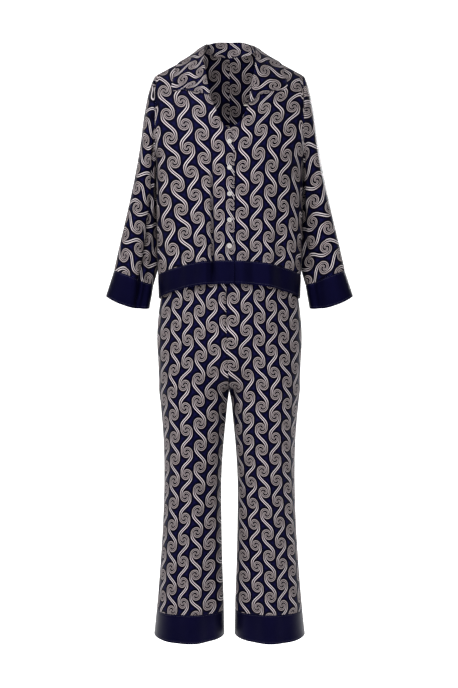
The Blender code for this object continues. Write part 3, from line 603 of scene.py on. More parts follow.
def leg_point(share, z, face):
    angle = share * math.pi
    outer, inner = along(LEG, "outer", z), along(LEG, "inner", z)
    x = (outer + inner) / 2 - (outer - inner) / 2 * rounded(np.cos(angle), LEG_OVAL)
    return x, face * along(LEG, FACES[face], z) * np.abs(np.sin(angle)) ** LEG_OVAL


def trouser_point(share, z, face):
    """A point on a trouser panel for the wearer's left leg. share is 0 at the centre seam
    or inseam and 1 at the side seam."""
    seam_share = quarter_arc((z - CROTCH_Z) / CROTCH_CURVE[face])
    panel_share = eased((z - CROTCH_Z) / SEAT_EASE)
    hip_share = seam_share + (panel_share - seam_share) * eased(share * 2.5)
    hip_x, hip_y = hip_point(share, np.maximum(z, CROTCH_Z), face)
    leg_x, leg_y = leg_point(share, np.minimum(z, CROTCH_Z), face)
    x = np.maximum(leg_x + (hip_x - leg_x) * hip_share, 0)
    y = face * np.maximum(np.abs(leg_y + (hip_y - leg_y) * hip_share), SEAM / 2)
    return np.stack([x, y, np.broadcast_to(z, x.shape)], axis=-1)


def half_leg(side, face, share, z):
    """Points of the front or back of a leg with its folds, which fade out at the side seam
    and at the inseam."""
    points = trouser_point(share, z, face)
    points[..., 0] *= side
    x, z = points[..., 0], points[..., 2]
    amount = fold_depth(LEG_FOLDS[face], x, z) + crease_depth(LEG_CREASES[face], x, z)
    return push_in(points, panel_normals(points, face), amount * eased(np.abs(points[..., 1]) / SIDE_FADE))


def trouser_panel(side, face):
    legs = np.linspace(TROUSER_HEM_Z + LEG_BAND + SEAM, CROTCH_Z, LEG_ROWS)
    rise = SEAT_EASE * np.linspace(0, 1, SEAT_ROWS) ** FORK_CROWDING
    hips = np.linspace(CROTCH_Z + SEAT_EASE, WAISTBAND_TOP - WAISTBAND - SEAM, HIP_ROWS)
    z = np.concatenate([legs, CROTCH_Z + rise[1:], hips[1:]])[:, None]
    points = half_leg(side, face, spread(LEG_COLUMNS), z)
    if face == FRONT:
        down = np.clip((z - FRONT_SEAM_TOP) / (CROTCH_Z - FRONT_SEAM_TOP), 0, 1)
        near = np.clip(1 - np.abs(points[..., 0]) / FRONT_SEAM_REACH, 0, 1) ** 2
        fork = eased((z - CROTCH_Z) / FORK + 1)
        points[..., 0] -= (FRONT_SEAM_ASIDE * (1 - down**FRONT_SEAM_CURVE) + fork) * near
    return points


def leg_band(side):
    """Points of a leg's hem band: it carries both panels' surfaces on down to the hem."""
    share = spread(LEG_COLUMNS)
    rows = np.linspace(0, 1, BAND_ROWS)[:, None]
    droop = LEG_DROOP * np.sin(math.pi * share) ** 1.8
    z = TROUSER_HEM_Z + LEG_BAND * rows - droop * (1 - rows)
    front, back = [half_leg(side, face, share, z) for face in FACES]
    points = np.concatenate([front, back[:, -2:0:-1]], axis=1)
    points[:, [0, len(share) - 1], 1] = 0
    return points


def waistband_ring():
    """Points of the casing of the elastic, which draws the cloth into small gathers."""
    angle = np.linspace(0, 2 * math.pi, WAIST_COLUMNS + 1)[:-1]
    rows = np.linspace(0, 1, WAIST_ROWS)[:, None]
    z = WAISTBAND_TOP - WAISTBAND * (1 - rows)
    share = np.arcsin(np.abs(np.sin(angle))) / (math.pi / 2)
    (x, front_y), (_, back_y) = [hip_point(share, z, face) for face in FACES]
    x = x * np.sign(np.sin(angle))
    y = np.where(np.cos(angle) > 0, front_y, back_y)
    points = np.stack([x, y, np.broadcast_to(z, x.shape)], axis=-1)
    # No two gathers are quite the same
    uneven = 0.7 + 0.3 * np.sin(angle * 11 + 2)
    gather = np.sin(angle * GATHERS + 1.3 * np.sin(angle * 5)) * uneven
    return push_in(points, outward(points, ring=True), (1 - gather) * GATHER_DEPTH * np.sin(math.pi * rows))


# ---------- collar


def collar_half(rows, side, shares):
    """Rows of points across one half of the collar, from its front end to the centre
    back: up the stand, over the roll line and down the fall."""
    read = [along(rows, name, shares, "share") for name in COLLAR.split()[1:]]
    seam_x, seam_rise, roll_x, roll_y, roll_z, edge_x, edge_rise = read
    seam = body_surface(seam_x, seam_rise, side) + surface_normal(seam_x, seam_rise, side) * COLLAR_SEAM
    roll = np.stack([side * roll_x, roll_y, roll_z], axis=-1)
    height = np.linalg.norm(roll - seam, axis=-1)
    lines = [seam, seam + (roll - seam) * STAND_MIDDLE, roll]
    for step in FALL_SHARES:
        x = seam_x + (edge_x - seam_x) * step
        rise = seam_rise + (edge_rise - seam_rise) * step
        lift = WALL + COLLAR_CLEAR + np.maximum(height - 2, 0) * FALL_LIFT * (1 - step) ** 2
        lines.append(body_surface(x, rise, side) + surface_normal(x, rise, side) * lift[:, None])
    return np.stack(lines, axis=0)


def collar_points():
    crowd = np.linspace(*SHOULDER_CROWD)[1:-1]
    shares = np.sort(np.concatenate([np.linspace(0, 1, COLLAR_COLUMNS), crowd]))
    right = collar_half(COLLAR_RIGHT, RIGHT, shares)
    left = collar_half(COLLAR_LEFT, LEFT, shares)
    rows = [np.linspace(0, 2, STAND_ROWS), np.linspace(2, 3, TURN_ROWS)[1:]]
    rows.append(np.linspace(3, len(FALL_SHARES) + 2, FALL_ROWS)[1:])
    return between(np.concatenate([right, left[:, -2::-1]], axis=1), np.concatenate(rows))


# ---------- finishes


def linear(hex_colour):
    """An sRGB hex colour as the linear numbers that a shader takes."""
    parts = [int(hex_colour[k : k + 2], 16) / 255 for k in (1, 3, 5)]
    return (*[c / 12.92 if c <= 0.04045 else ((c + 0.055) / 1.055) ** 2.4 for c in parts], 1)


def plug(node, **values):
    """Sets a node's inputs, by name or by i and the input's number, to a number or a colour,
    or links them to a socket or to a node's first output."""
    for key, value in values.items():
        place = node.inputs[int(key[1:]) if key[0] == "i" and key[1:].isdigit() else key.replace("_", " ")]
        if isinstance(value, bpy.types.Node):
            value = value.outputs[0]
        if isinstance(value, bpy.types.NodeSocket):
            node.id_data.links.new(value, place)
        else:
            place.default_value = value


def add(tree, kind, settings=None, **values):
    """Adds one node. settings are its own, and values are for its inputs."""
    node = tree.nodes.new("ShaderNode" + kind)
    for key, value in (settings or {}).items():
        setattr(node, key, value)
    plug(node, **values)
    return node


def work_out(tree, steps, known):
    """Runs steps of arithmetic, each: name, operation, then up to three names or numbers."""
    for name, operation, *terms in steps:
        values = {f"i{k}": known.get(term, term) for k, term in enumerate(terms)}
        known[name] = add(tree, "Math", {"operation": operation}, **values)
    return known


def new_material(name):
    material = bpy.data.materials.new(name)
    material.use_nodes = True
    return material, material.node_tree, material.node_tree.nodes["Principled BSDF"]


# The running spiral, mm: one repeat down a column, a column's width, how far out from the
# middle of a spiral its ribbon starts to wind in, and half the ribbon's width there.
REPEAT, COLUMN, RADIUS, RIBBON = 55.4, 36.3, 13.2, 3.4
WOUND = 0.711  # turns that each of the two arms makes on its way to the middle
TIGHTEN = 1.344  # above 1 the arms turn in faster and faster
TALLER = 0.938  # spirals are a little taller than wide
THIN, WIDENING = 1.45, 0.16  # half the ribbon's width at the middle, and its growth per mm
LINK_FROM, LINK_TO = 0.063, 0.925  # shares of a repeat between which a link crosses over
SLANT, SWELL = 0.3, 0.25  # what a link's slant takes off its width, and mm added halfway
COLUMN_STEPS = [
    ("own", "FLOOR", "u"),
    ("across", "SUBTRACT", "u", "own"),
    ("right_half", "GREATER_THAN", "across", 0.5),
    ("step", "MULTIPLY_ADD", "right_half", 2, -1),
    ("beside", "ADD", "own", "step"),
]
# Every second column is turned over left for right. Each lies lower than the one before by
# about half a repeat. How much is in the attribute drop, the same all over a piece of cloth.
PLACE_STEPS = [
    ("odd", "FLOORED_MODULO", "column", 2),
    ("turn_over", "MULTIPLY_ADD", "odd", -2, 1),
    ("from_column", "SUBTRACT", "u", "column"),
    ("from_middle", "SUBTRACT", "from_column", 0.5),
    ("aside", "MULTIPLY", "from_middle", COLUMN),
    ("x", "MULTIPLY", "aside", "turn_over"),
    ("lower", "MULTIPLY_ADD", "column", "drop", "v"),
    ("t", "FRACT", "lower"),
]
# Two arms wind in from the ends of a diameter and meet in the middle. A link leaves one end
# and runs down to the other end of the next spiral.
SPIRAL_STEPS = [
    ("node", "ROUND", "t"),
    ("above", "SUBTRACT", "node", "t"),
    ("y", "MULTIPLY", "above", REPEAT * TALLER),
    ("xx", "MULTIPLY", "x", "x"),
    ("rr", "MULTIPLY_ADD", "y", "y", "xx"),
    ("r", "SQRT", "rr"),
    ("angle", "ARCTAN2", "y", "x"),
    ("turned", "MULTIPLY_ADD", "angle", 0.5 / math.pi, 1),
    ("turn", "FRACT", "turned"),
    ("out", "DIVIDE", "r", RADIUS),
    ("curled", "POWER", "out", TIGHTEN),
    ("arm_turn", "MULTIPLY_ADD", "curled", -WOUND, WOUND),
    ("ahead", "SUBTRACT", "arm_turn", "turn"),
    ("half_turns", "MULTIPLY", "ahead", 2),
    ("nearest_arm", "ROUND", "half_turns"),
    ("past_half", "GREATER_THAN", "turn", 0.5),
    ("first_arm", "MULTIPLY", "past_half", -1),
    ("arm", "MAXIMUM", "nearest_arm", "first_arm"),
    ("past_arm", "SUBTRACT", "half_turns", "arm"),
    ("off_arm", "ABSOLUTE", "past_arm"),
    ("off_angle", "MULTIPLY", "off_arm", math.pi),
    ("arc", "MULTIPLY", "off_angle", "r"),
    ("climb", "MULTIPLY", "curled", 2 * math.pi * WOUND * TIGHTEN),
    ("climb_2", "MULTIPLY_ADD", "climb", "climb", 1),
    ("steep", "SQRT", "climb_2"),
    ("off_spiral", "DIVIDE", "arc", "steep"),
    ("widening", "MULTIPLY_ADD", "r", WIDENING, THIN),
    ("spiral_half", "MINIMUM", "widening", RIBBON),
    ("in_spiral", "DIVIDE", "off_spiral", "spiral_half"),
    ("rest", "SUBTRACT", 1, "t"),
    ("bow", "MULTIPLY", "t", "rest"),
    ("full_bow", "MULTIPLY", "bow", 4),
    ("mid_link", "POWER", "full_bow", 2),
    ("lean", "MULTIPLY_ADD", "mid_link", -SLANT, 1),
    ("past_link", "SUBTRACT", "x", "link_x"),
    ("off_link", "ABSOLUTE", "past_link"),
    ("link_leaned", "MULTIPLY", "off_link", "lean"),
    ("link_half", "MULTIPLY_ADD", "mid_link", SWELL, RIBBON),
    ("in_link", "DIVIDE", "link_leaned", "link_half"),
    ("ribbon", "MINIMUM", "in_spiral", "in_link"),
    ("is_link", "LESS_THAN", "in_link", "in_spiral"),
    ("link_share", "MULTIPLY", "is_link", "mid_link"),
]
NEARER_STEPS = [
    ("ribbon", "MINIMUM", "a", "b"),
    ("b_wins", "LESS_THAN", "b", "a"),
    ("gain", "SUBTRACT", "share_b", "share_a"),
    ("link", "MULTIPLY_ADD", "b_wins", "gain", "share_a"),
]


def spiral_print(tree, u, v, drop):
    """Where the ribbon is: 0 on its middle line and 1 at its edge, and how much of it is
    link. It looks at the column that holds the place and at the nearer column beside it."""
    start = {"u": u, "v": v, "drop": drop}
    base = work_out(tree, COLUMN_STEPS, start)
    pair = {}
    for name, column in (("a", base["own"]), ("b", base["beside"])):
        known = work_out(tree, PLACE_STEPS, start | {"column": column})
        link = {"i0": known["t"], "i1": LINK_FROM, "i2": LINK_TO, "i3": RADIUS, "i4": -RADIUS}
        known["link_x"] = add(tree, "MapRange", {"interpolation_type": "SMOOTHERSTEP"}, **link)
        known = work_out(tree, SPIRAL_STEPS, known)
        pair[name] = known["ribbon"]
        pair["share_" + name] = known["link_share"]
    nearer = work_out(tree, NEARER_STEPS, pair)
    return nearer["ribbon"], nearer["link"]


def print_place(tree):
    """The print's own counts across and down the cloth, and the place there in mm."""
    count = add(tree, "SeparateXYZ", Vector=add(tree, "UVMap", {"uv_map": "print"}))
    u, v = count.outputs[0], count.outputs[1]
    across = add(tree, "Math", {"operation": "MULTIPLY"}, i0=u, i1=COLUMN)
    down = add(tree, "Math", {"operation": "MULTIPLY"}, i0=v, i1=REPEAT)
    return u, v, add(tree, "CombineXYZ", X=across, Y=down)


def weave(tree, place, tone):
    """Warp-faced satin: fine upright ribs and a few slubs, as height for the bump. Real
    threads are 0.15 mm apart, so the ribs are drawn 1.2 mm apart to show at all."""
    ribs = add(tree, "TexWave", Vector=place, Scale=0.26, Distortion=1.2, Detail=1.0)
    slub_place = add(tree, "Mapping", Vector=place, Scale=(0.5, 0.035, 1))
    slubs = add(tree, "TexNoise", Vector=slub_place, Scale=1.0, Detail=2.0)
    both = add(tree, "Math", {"operation": "MULTIPLY_ADD"}, i0=slubs, i1=1.6, i2=ribs.outputs[1])
    return add(tree, "Bump", Strength=tone, Distance=0.06 * METRE, Height=both)


def paint_ramp(node, stops):
    """Sets a ramp's colours. The last stop is its end."""
    shades = node.color_ramp.elements
    shades.remove(shades[-1])
    shades[0].color = linear(stops[0][1])
    for place, shade in stops[1:]:
        shades.new(min(place / stops[-1][0], 1.0)).color = linear(shade)


# Dyed satin has a low sheen that keeps its navy even where it catches the light
SHEEN = linear("#4644a0")
# Shades across the ribbon in the spirals, across a link, and of the ground beside both, at
# so many halves of the ribbon's width from its middle line
TAUPE = [(0.0, "#141111"), (0.22, "#1b1716"), (0.42, "#867d7e"), (0.72, "#837a7b"), (0.93, "#25201f")]
CREAM = [(0.0, "#020106"), (0.32, "#030206"), (0.46, "#b0a8ac"), (0.76, "#bbb3b6"), (0.95, "#2a2425")]
GROUND = [(1.02, "#030206"), (1.5, "#030207"), (2.1, "#060614"), (2.7, "#090923"), (3.4, "#0d0d30")]


def printed_satin():
    # Polyester or viscose satin, woven, screen printed on navy: soft low gloss, print slightly
    # duller than the ground, cream lines on the links and taupe in the spirals.
    material, tree, shader = new_material("printed_satin")
    u, v, place = print_place(tree)
    drop = add(tree, "Attribute", {"attribute_name": "drop"}).outputs["Fac"]
    ribbon, link = spiral_print(tree, u, v, drop)
    share = add(tree, "Math", {"operation": "DIVIDE"}, i0=ribbon, i1=GROUND[-1][0])
    spiral, bright = add(tree, "ValToRGB", Fac=share), add(tree, "ValToRGB", Fac=share)
    paint_ramp(spiral, TAUPE + GROUND)
    paint_ramp(bright, CREAM + GROUND)
    colour = add(tree, "MixRGB", Fac=link, Color1=spiral, Color2=bright)
    plug(shader, Base_Color=colour, Normal=weave(tree, place, 0.35), Roughness=0.5)
    plug(shader, Specular_IOR_Level=0.06, Specular_Tint=SHEEN)
    return material


def navy_satin():
    # The same satin dyed plain navy: smoother than the print, with a clearer soft gloss.
    material, tree, shader = new_material("navy_satin")
    place = print_place(tree)[2]
    shade = add(tree, "TexNoise", Vector=place, Scale=0.02, Detail=2.0)
    colour = add(tree, "MixRGB", Fac=shade, Color1=linear("#03030f"), Color2=linear("#060519"))
    plug(shader, Base_Color=colour, Normal=weave(tree, place, 0.3), Roughness=0.4)
    plug(shader, Specular_IOR_Level=0.17, Specular_Tint=SHEEN)
    return material


def navy_thread():
    # Spun polyester sewing thread: dull, a little lighter than the satin where it stands proud.
    material, tree, shader = new_material("navy_thread")
    place = add(tree, "TexCoord").outputs["Object"]
    ply = add(tree, "TexWave", Vector=place, Scale=900.0, Distortion=0.0).outputs[1]
    colour = add(tree, "MixRGB", Fac=ply, Color1=linear("#0a0a24"), Color2=linear("#131333"))
    plug(shader, Base_Color=colour, Roughness=0.6)
    return material


def pearl():
    # Polyester pearl button, cast and polished: milky white with soft cloudy bands and a
    # clear hard gloss on top.
    material, tree, shader = new_material("pearl_polyester")
    place = add(tree, "TexCoord").outputs["Object"]
    cloud = add(tree, "TexNoise", Vector=place, Scale=420.0, Detail=3.0, Distortion=1.4)
    colour = add(tree, "MixRGB", Fac=cloud, Color1=linear("#84807c"), Color2=linear("#9d9a96"))
    plug(shader, Base_Color=colour, Roughness=0.18, Coat_Weight=0.6, Coat_Roughness=0.08)
    plug(shader, Subsurface_Weight=0.1, Subsurface_Scale=0.002)
    return material


def paper():
    # Seamless studio paper: matt and near white
    material, _, shader = new_material("white_paper")
    plug(shader, Base_Color=linear("#fbfbfb"), Roughness=0.9, Specular_IOR_Level=0.1)
    plug(shader, Emission_Color=(1, 1, 1, 1), Emission_Strength=0.72)
    return material


SATIN, NAVY, THREAD, PEARL = printed_satin(), navy_satin(), navy_thread(), pearl()

# ---------- where the print lies

# Each piece has the places of a few of its spirals: the column and the repeat that a spiral
# belongs to, then mm of x and z seen from the front, and on the collar mm along its roll
# line from the centre back and down from that line. The rest of the print follows from them.
SPIRALS = {
    "shirt_front_right": [
        (-1, 4, -177, -451), (-1, 5, -167, -519), (0, 1, -172, -245), (0, 3, -157, -362),
        (0, 5, -138, -480), (1, -1, -160, -90), (1, 3, -125, -325), (1, 6, -103, -497), (2, 0, -115, -123),
        (2, 3, -91, -295), (2, 6, -71, -462), (3, 1, -74, -152), (3, 4, -53, -319), (3, 6, -43, -434),
        (4, 2, -33, -178), (4, 5, -25, -347), (4, 8, -23, -507),
    ],
    "shirt_front_left": [
        (1, 1, 46, -174), (1, 4, 30, -340), (1, 7, 32, -501), (2, 1, 82, -140), (2, 4, 67, -310),
        (2, 7, 66, -475), (3, 1, 123, -109), (3, 5, 97, -343), (3, 8, 94, -504), (4, 1, 166, -79),
        (4, 5, 134, -316), (4, 8, 120, -482), (5, 4, 172, -237), (5, 6, 161, -358), (5, 8, 151, -473),
    ],
    "trouser_front_right": [
        (0, 0, -158, -634), (0, 3, -159, -793), (0, 5, -157, -901), (1, 0, -130, -610), (1, 4, -137, -826),
        (1, 9, -140, -1098), (1, 13, -140, -1308), (2, 0, -100, -589), (2, 5, -106, -863),
        (2, 10, -110, -1132), (2, 14, -114, -1343), (3, 1, -68, -633), (3, 5, -72, -847),
        (3, 10, -75, -1117), (3, 14, -79, -1322), (4, 1, -40, -619), (4, 6, -42, -884), (4, 11, -48, -1145),
        (4, 15, -53, -1348), (5, 1, -10, -597), (5, 3, -10, -706), (5, 4, -10, -760), (5, 5, -10, -814),
        (5, 6, -11, -868),
    ],
    "trouser_front_left": [
        (1, 0, 8, -602), (1, 2, 9, -709), (1, 3, 11, -762), (1, 4, 15, -815), (1, 5, 18, -868),
        (1, 10, 33, -1127), (1, 14, 38, -1332), (2, 0, 40, -620), (2, 5, 47, -889), (2, 10, 60, -1148),
        (2, 14, 68, -1353), (3, -1, 70, -595), (3, 4, 78, -859), (3, 9, 90, -1119), (3, 13, 97, -1327),
        (4, -1, 100, -618), (4, 4, 110, -886), (4, 9, 122, -1145), (4, 13, 130, -1346), (5, -1, 132, -637),
        (5, 3, 138, -855), (5, 8, 146, -1111), (5, 12, 156, -1315), (6, -2, 158, -607), (6, 0, 160, -715),
        (6, 1, 160, -769),
    ],
    "sleeve_left": [
        (1, 1, 238, -426), (1, 2, 202, -454), (2, 2, 238, -473), (2, 3, 198, -506), (0, 1, 207, -408),
        (0, 2, 181, -443), (0, 0, 247, -373), (-1, 0, 211, -359), (-1, 1, 184, -392), (3, 2, 273, -492),
        (3, 3, 235, -520), (-2, -1, 216, -306), (-2, 0, 187, -336), (-3, -2, 218, -256),
        (-3, -1, 188, -291), (-4, -2, 187, -237), (-5, -3, 192, -191), (-6, -4, 191, -132),
    ],
    "sleeve_right": [
        (0, 0, -257, -491), (0, 1, -223, -518), (1, 0, -257, -441), (1, 1, -223, -473), (2, 1, -225, -421),
        (3, 1, -227, -373), (4, 1, -231, -324),
    ],
    "collar": [
        (6, 4, -220, 61), (6, 3, -209, 17), (3, 3, -121, 75), (3, 2, -125, 19), (0, 0, -25, -10),
        (-2, -1, 50, -10), (-6, -2, 214, 25), (-6, -1, 198, 81), (-7, -2, 232, 68),
    ],
}
SPACING = 34.9  # from one column to the next on cloth that nothing pulls aside, mm
HUNDRED = 100  # mm to the unit that bends are worked out in
# turn is how far the print is turned on the piece, in degrees, and side is -1 where it is
# turned over too. drop is how much lower each column lies than the one before, in repeats.
# pull is how strongly the print keeps its size between the spirals, and terms how freely
# it may bend.
Lay = namedtuple("Lay", "turn side drop pull terms")
LAYS = {
    "shirt_front_right": Lay(180, -1, 0.55, 20, 10),
    "shirt_front_left": Lay(0, 1, 0.45, 20, 10),
    "trouser_front_right": Lay(0, 1, 0.34, 30, 10),
    "trouser_front_left": Lay(180, -1, -0.43, 30, 10),
    "sleeve_left": Lay(68.5, 1, 0.5, 50, 6),
    "sleeve_right": Lay(-113.5, -1, 0.5, 50, 6),
    "collar": Lay(180, -1, 0.5, 30, 6),
}
# On the other pieces it hangs straight: column and repeat at the start, and which way
# columns count
STARTS = {
    "shirt_back_right": (1.61, 6.32, -1),
    "shirt_back_left": (1.11, 6.2, 1),
    "trouser_back_right": (0.35, 0.2, -1),
    "trouser_back_left": (0.15, 0.2, 1),
}


def bend_terms(s, t):
    """Terms of a smooth bend at places s across and t down, in 100 mm, and how fast each of
    them changes across and down."""
    one, none = np.ones_like(s), np.zeros_like(s)
    terms = [one, s, t, s * t, s * s, t * t, s**3, s * s * t, s * t * t, t**3]
    across = [none, one, none, t, 2 * s, none, 3 * s * s, 2 * s * t, t * t, none]
    down = [none, none, one, s, none, 2 * t, none, s * s, 2 * s * t, 3 * t * t]
    return [np.stack(rows, -1) for rows in (terms, across, down)]


def settle(counts, spots, piece, slope, pull, free):
    """The bend that meets the counts at the spots as well as it can, and that changes by
    about slope across and down everywhere on the piece."""
    terms = bend_terms(*spots)[0]
    _, across, down = bend_terms(*piece)
    pull = pull / math.sqrt(len(across)) / HUNDRED
    matrix = np.concatenate([terms, across * pull, down * pull])[:, :free]
    wanted = [np.full(len(across), pull * HUNDRED * change) for change in slope]
    return np.linalg.lstsq(matrix, np.concatenate([counts, *wanted]), rcond=None)[0]


def spots_on(name, spirals, points, s, t):
    """The places across and down the cloth of the spirals that are given as seen."""
    if name == "collar":
        return spirals[:, 2] / HUNDRED, spirals[:, 3] / HUNDRED
    # Only the front half of a sleeve is seen
    behind = points[..., 1] > points[..., 1].mean(axis=1, keepdims=True)
    hidden = behind.ravel() * 1e6 if name.startswith("sleeve") else 0
    x, z = points[..., 0].ravel(), points[..., 2].ravel()
    nearest = [np.argmin((x - spot[2]) ** 2 + (z - spot[3]) ** 2 + hidden) for spot in spirals]
    return s[nearest], t[nearest]


def print_on(name, points, place):
    """Column count, repeat count and drop of the print all over a piece."""
    s, t = place[0] / HUNDRED, place[1] / HUNDRED
    if name not in LAYS:
        column, repeat, way = STARTS.get(name, (0.5, 0, 1))
        return column + way * s * HUNDRED / SPACING, repeat + t * HUNDRED / REPEAT, 0.5
    lay, spirals = LAYS[name], np.array(SPIRALS[name], float)
    cloth_s, cloth_t = [grid[:, : points.shape[1]].ravel() for grid in (s, t)]
    spots = spots_on(name, spirals, points, cloth_s, cloth_t)
    even = cloth_s[::37], cloth_t[::37]
    turn = math.radians(lay.turn)
    u_slope = math.cos(turn) / SPACING, math.sin(turn) / SPACING
    v_slope = -lay.side * math.sin(turn) / REPEAT, lay.side * math.cos(turn) / REPEAT
    repeats = spirals[:, 1] - lay.drop * spirals[:, 0]
    u_bend = settle(spirals[:, 0] + 0.5, spots, even, u_slope, lay.pull, lay.terms)
    v_bend = settle(repeats, spots, even, v_slope, lay.pull * SPACING / REPEAT, lay.terms)
    terms = bend_terms(s, t)[0][..., : lay.terms]
    return terms @ u_bend, terms @ v_bend, lay.drop


# ---------- making a piece of cloth

CLOTH, BAND_CLOTH, TUBE_CLOTH, COLLAR_CLOTH = 0.9, 1.3, 1.4, 1.5  # thicknesses that show
GROOVE, GROOVE_WIDTH = 0.7, 2.6  # how far cloth dips into a seam, and how wide
SHARP, BUTTON_SHARP = math.radians(60), math.radians(40)  # edges above this stay sharp
# The body is measured on a square map from below the hem to above the collar, where a step
# in depth counts for no more than MAP_STEP mm of cloth
MAP_SIZE, MAP_LOW, MAP_HIGH, MAP_STEP = 391, -612, 68, 9
# Lengths down the cloth are 0 this far up the map on the shirt, and at this z on the legs
SHIRT_PRINT_FROM, LEG_PRINT_FROM = 300, -900


def show(name, data):
    """Puts a mesh, a lamp or the camera in the scene."""
    thing = bpy.data.objects.new(name, data)
    bpy.context.scene.collection.objects.link(thing)
    return thing


def new_piece(name, verts, faces, finish):
    mesh = bpy.data.meshes.new(name)
    mesh.from_pydata(verts, [], faces)
    mesh.materials.append(finish)
    mesh.shade_smooth()
    return show(name, mesh)


def cloth(name, points, place, finish, ring=False, seams="", thick=CLOTH, normals=None):
    """A closed shell of cloth on a grid of points of its outside. place is (s, t) at each
    point in mm, with one more column on a ring. seams names the edges that are sewn: b and
    t for the first and last row, l and r for the first and last column."""
    if normals is None:
        normals = outward(points, ring)
    rows, columns = points.shape[:2]
    dip = np.zeros((rows, columns))
    down, right = run_of(points, 0), run_of(points, 1)
    for edge, run in (("b", down), ("t", down[-1:] - down), ("l", right), ("r", right[:, -1:] - right)):
        if edge in seams:
            # A centre seam fades where it turns under at the fork, or the legs would gape there
            fade = normals[..., 1] ** 2 if edge == "l" else 1
            dip = dip + bump(run, GROOVE_WIDTH) * GROOVE * fade
    outer = push_in(points, normals, dip)
    # The rows of the outside, then those of the inside from the last to the first, go round
    # the cloth as one loop
    verts = np.concatenate([outer, (outer - normals * thick)[::-1]]).reshape(-1, 3) * METRE
    spans = columns if ring else columns - 1
    i, j = np.meshgrid(np.arange(2 * rows), np.arange(spans), indexing="ij")
    below = (i + 1) % (2 * rows)

    def corners(width):
        beside = (j + 1) % width
        ends = [i * width + j, i * width + beside, below * width + beside, below * width + j]
        return np.stack(ends, -1).reshape(-1, 4)

    quads, uvs = corners(columns), corners(spans + 1)
    if not ring:
        k = np.arange(rows - 1)
        back = 2 * rows - 1 - k
        rim = np.stack([k, k + 1, back - 1, back], -1) * columns
        quads = np.concatenate([quads, rim, rim[:, ::-1] + columns - 1])
        uvs = quads
    first = verts[quads[0]]
    if np.dot(np.cross(first[1] - first[0], first[3] - first[0]), normals[0, 0]) < 0:
        quads, uvs = quads[:, ::-1], uvs[:, ::-1]
    piece = new_piece(name + "_cloth", verts.tolist(), quads.tolist(), finish)
    mesh = piece.data
    u, v, drop = print_on(name, points, place)
    about = mesh.attributes.new("drop", "FLOAT", "POINT")
    about.data.foreach_set("value", np.full(len(verts), drop, dtype=np.float32))
    flat = [np.concatenate([count, count[::-1]]).ravel()[uvs.ravel()] for count in (u, v)]
    mesh.uv_layers.new(name="print").data.foreach_set("uv", np.stack(flat, -1).astype(np.float32).ravel())
    mesh.set_sharp_from_angle(angle=SHARP)
    return piece, outer, normals


def plain_place(points):
    return run_of(points, 1), -points[..., 2]


def ring_place(points):
    points = closed(points)
    return run_of(points, 1), -points[..., 2]


def collar_place(points):
    """Along the collar from the centre back, and down from its roll line."""
    middle = points.shape[1] // 2
    down, right = run_of(points, 0), run_of(points, 1)
    along_roll = right[ROLL_ROW] - right[ROLL_ROW, middle]
    return np.broadcast_to(along_roll, right.shape), down - down[ROLL_ROW]


def arm_place(points):
    """Round the sleeve from its outer line, and down along its length."""
    middle = points.shape[1] // 2
    line = points[:, middle]
    axis = unit(line[-1] - line[0])
    steps = np.diff(closed(points), axis=1)
    steps = steps - (steps @ axis)[..., None] * axis
    s = added_up(np.linalg.norm(steps, axis=-1), 1)
    return s - s[:, middle][:, None], (closed(points) - line[0]) @ axis


def body_places(points, face):
    """Length across and length down the cloth at each point of a shirt piece, measured on
    the body's own curve and folds at that height and at that distance from the middle."""
    side = 1 if points[..., 0].mean() > 0 else -1
    xs = np.linspace(-LAP - 1, ARMHOLE_X + 1, MAP_SIZE)
    zs = np.linspace(MAP_LOW, MAP_HIGH, MAP_SIZE)[:, None]
    flat = np.broadcast_to(xs, (zs.size, xs.size))
    across = np.clip(flat / along(TORSO, "half_width", zs), -1, 1)
    depth = face * body_depth(across, zs, face)
    surface = shirt_folds(np.stack([side * flat, depth, np.broadcast_to(zs, flat.shape)], -1), side, face)
    x_steps, y_steps = np.diff(surface[..., 0], axis=1), np.diff(surface[..., 1], axis=1)
    s = added_up(np.hypot(x_steps, np.clip(y_steps, -MAP_STEP, MAP_STEP)), 1)
    s = s - np.array([np.interp(0, xs, row) for row in s])[:, None]
    t = added_up(np.hypot(np.diff(surface[..., 1], axis=0), np.diff(surface[..., 2], axis=0)), 0)
    x, z = side * points[..., 0], points[..., 2]
    return read_grid(xs, zs[:, 0], s, x, z), SHIRT_PRINT_FROM - read_grid(xs, zs[:, 0], t, x, z)


def read_grid(xs, zs, values, x, z):
    """Reads an even grid of values between its places."""
    i = np.clip((x - xs[0]) / (xs[1] - xs[0]), 0, len(xs) - 1.001)
    k = np.clip((z - zs[0]) / (zs[1] - zs[0]), 0, len(zs) - 1.001)
    i0, k0 = i.astype(int), k.astype(int)
    low, high = [values[row, i0] * (1 - i + i0) + values[row, i0 + 1] * (i - i0) for row in (k0, k0 + 1)]
    return low * (1 - k + k0) + high * (k - k0)


# ---------- the pieces

SURFACES = {}  # the outside of each piece and its normals, for the stitches


def put_on(piece, node):
    """Lets a piece stand for a solid and move with it."""
    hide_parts(node)
    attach(piece, "root")


def wear(name, points, place, finish, rests_on, held="draped", ring=False, **more):
    piece, *SURFACES[name] = cloth(name, points, place, finish, ring, **more)
    put_on(piece, name)


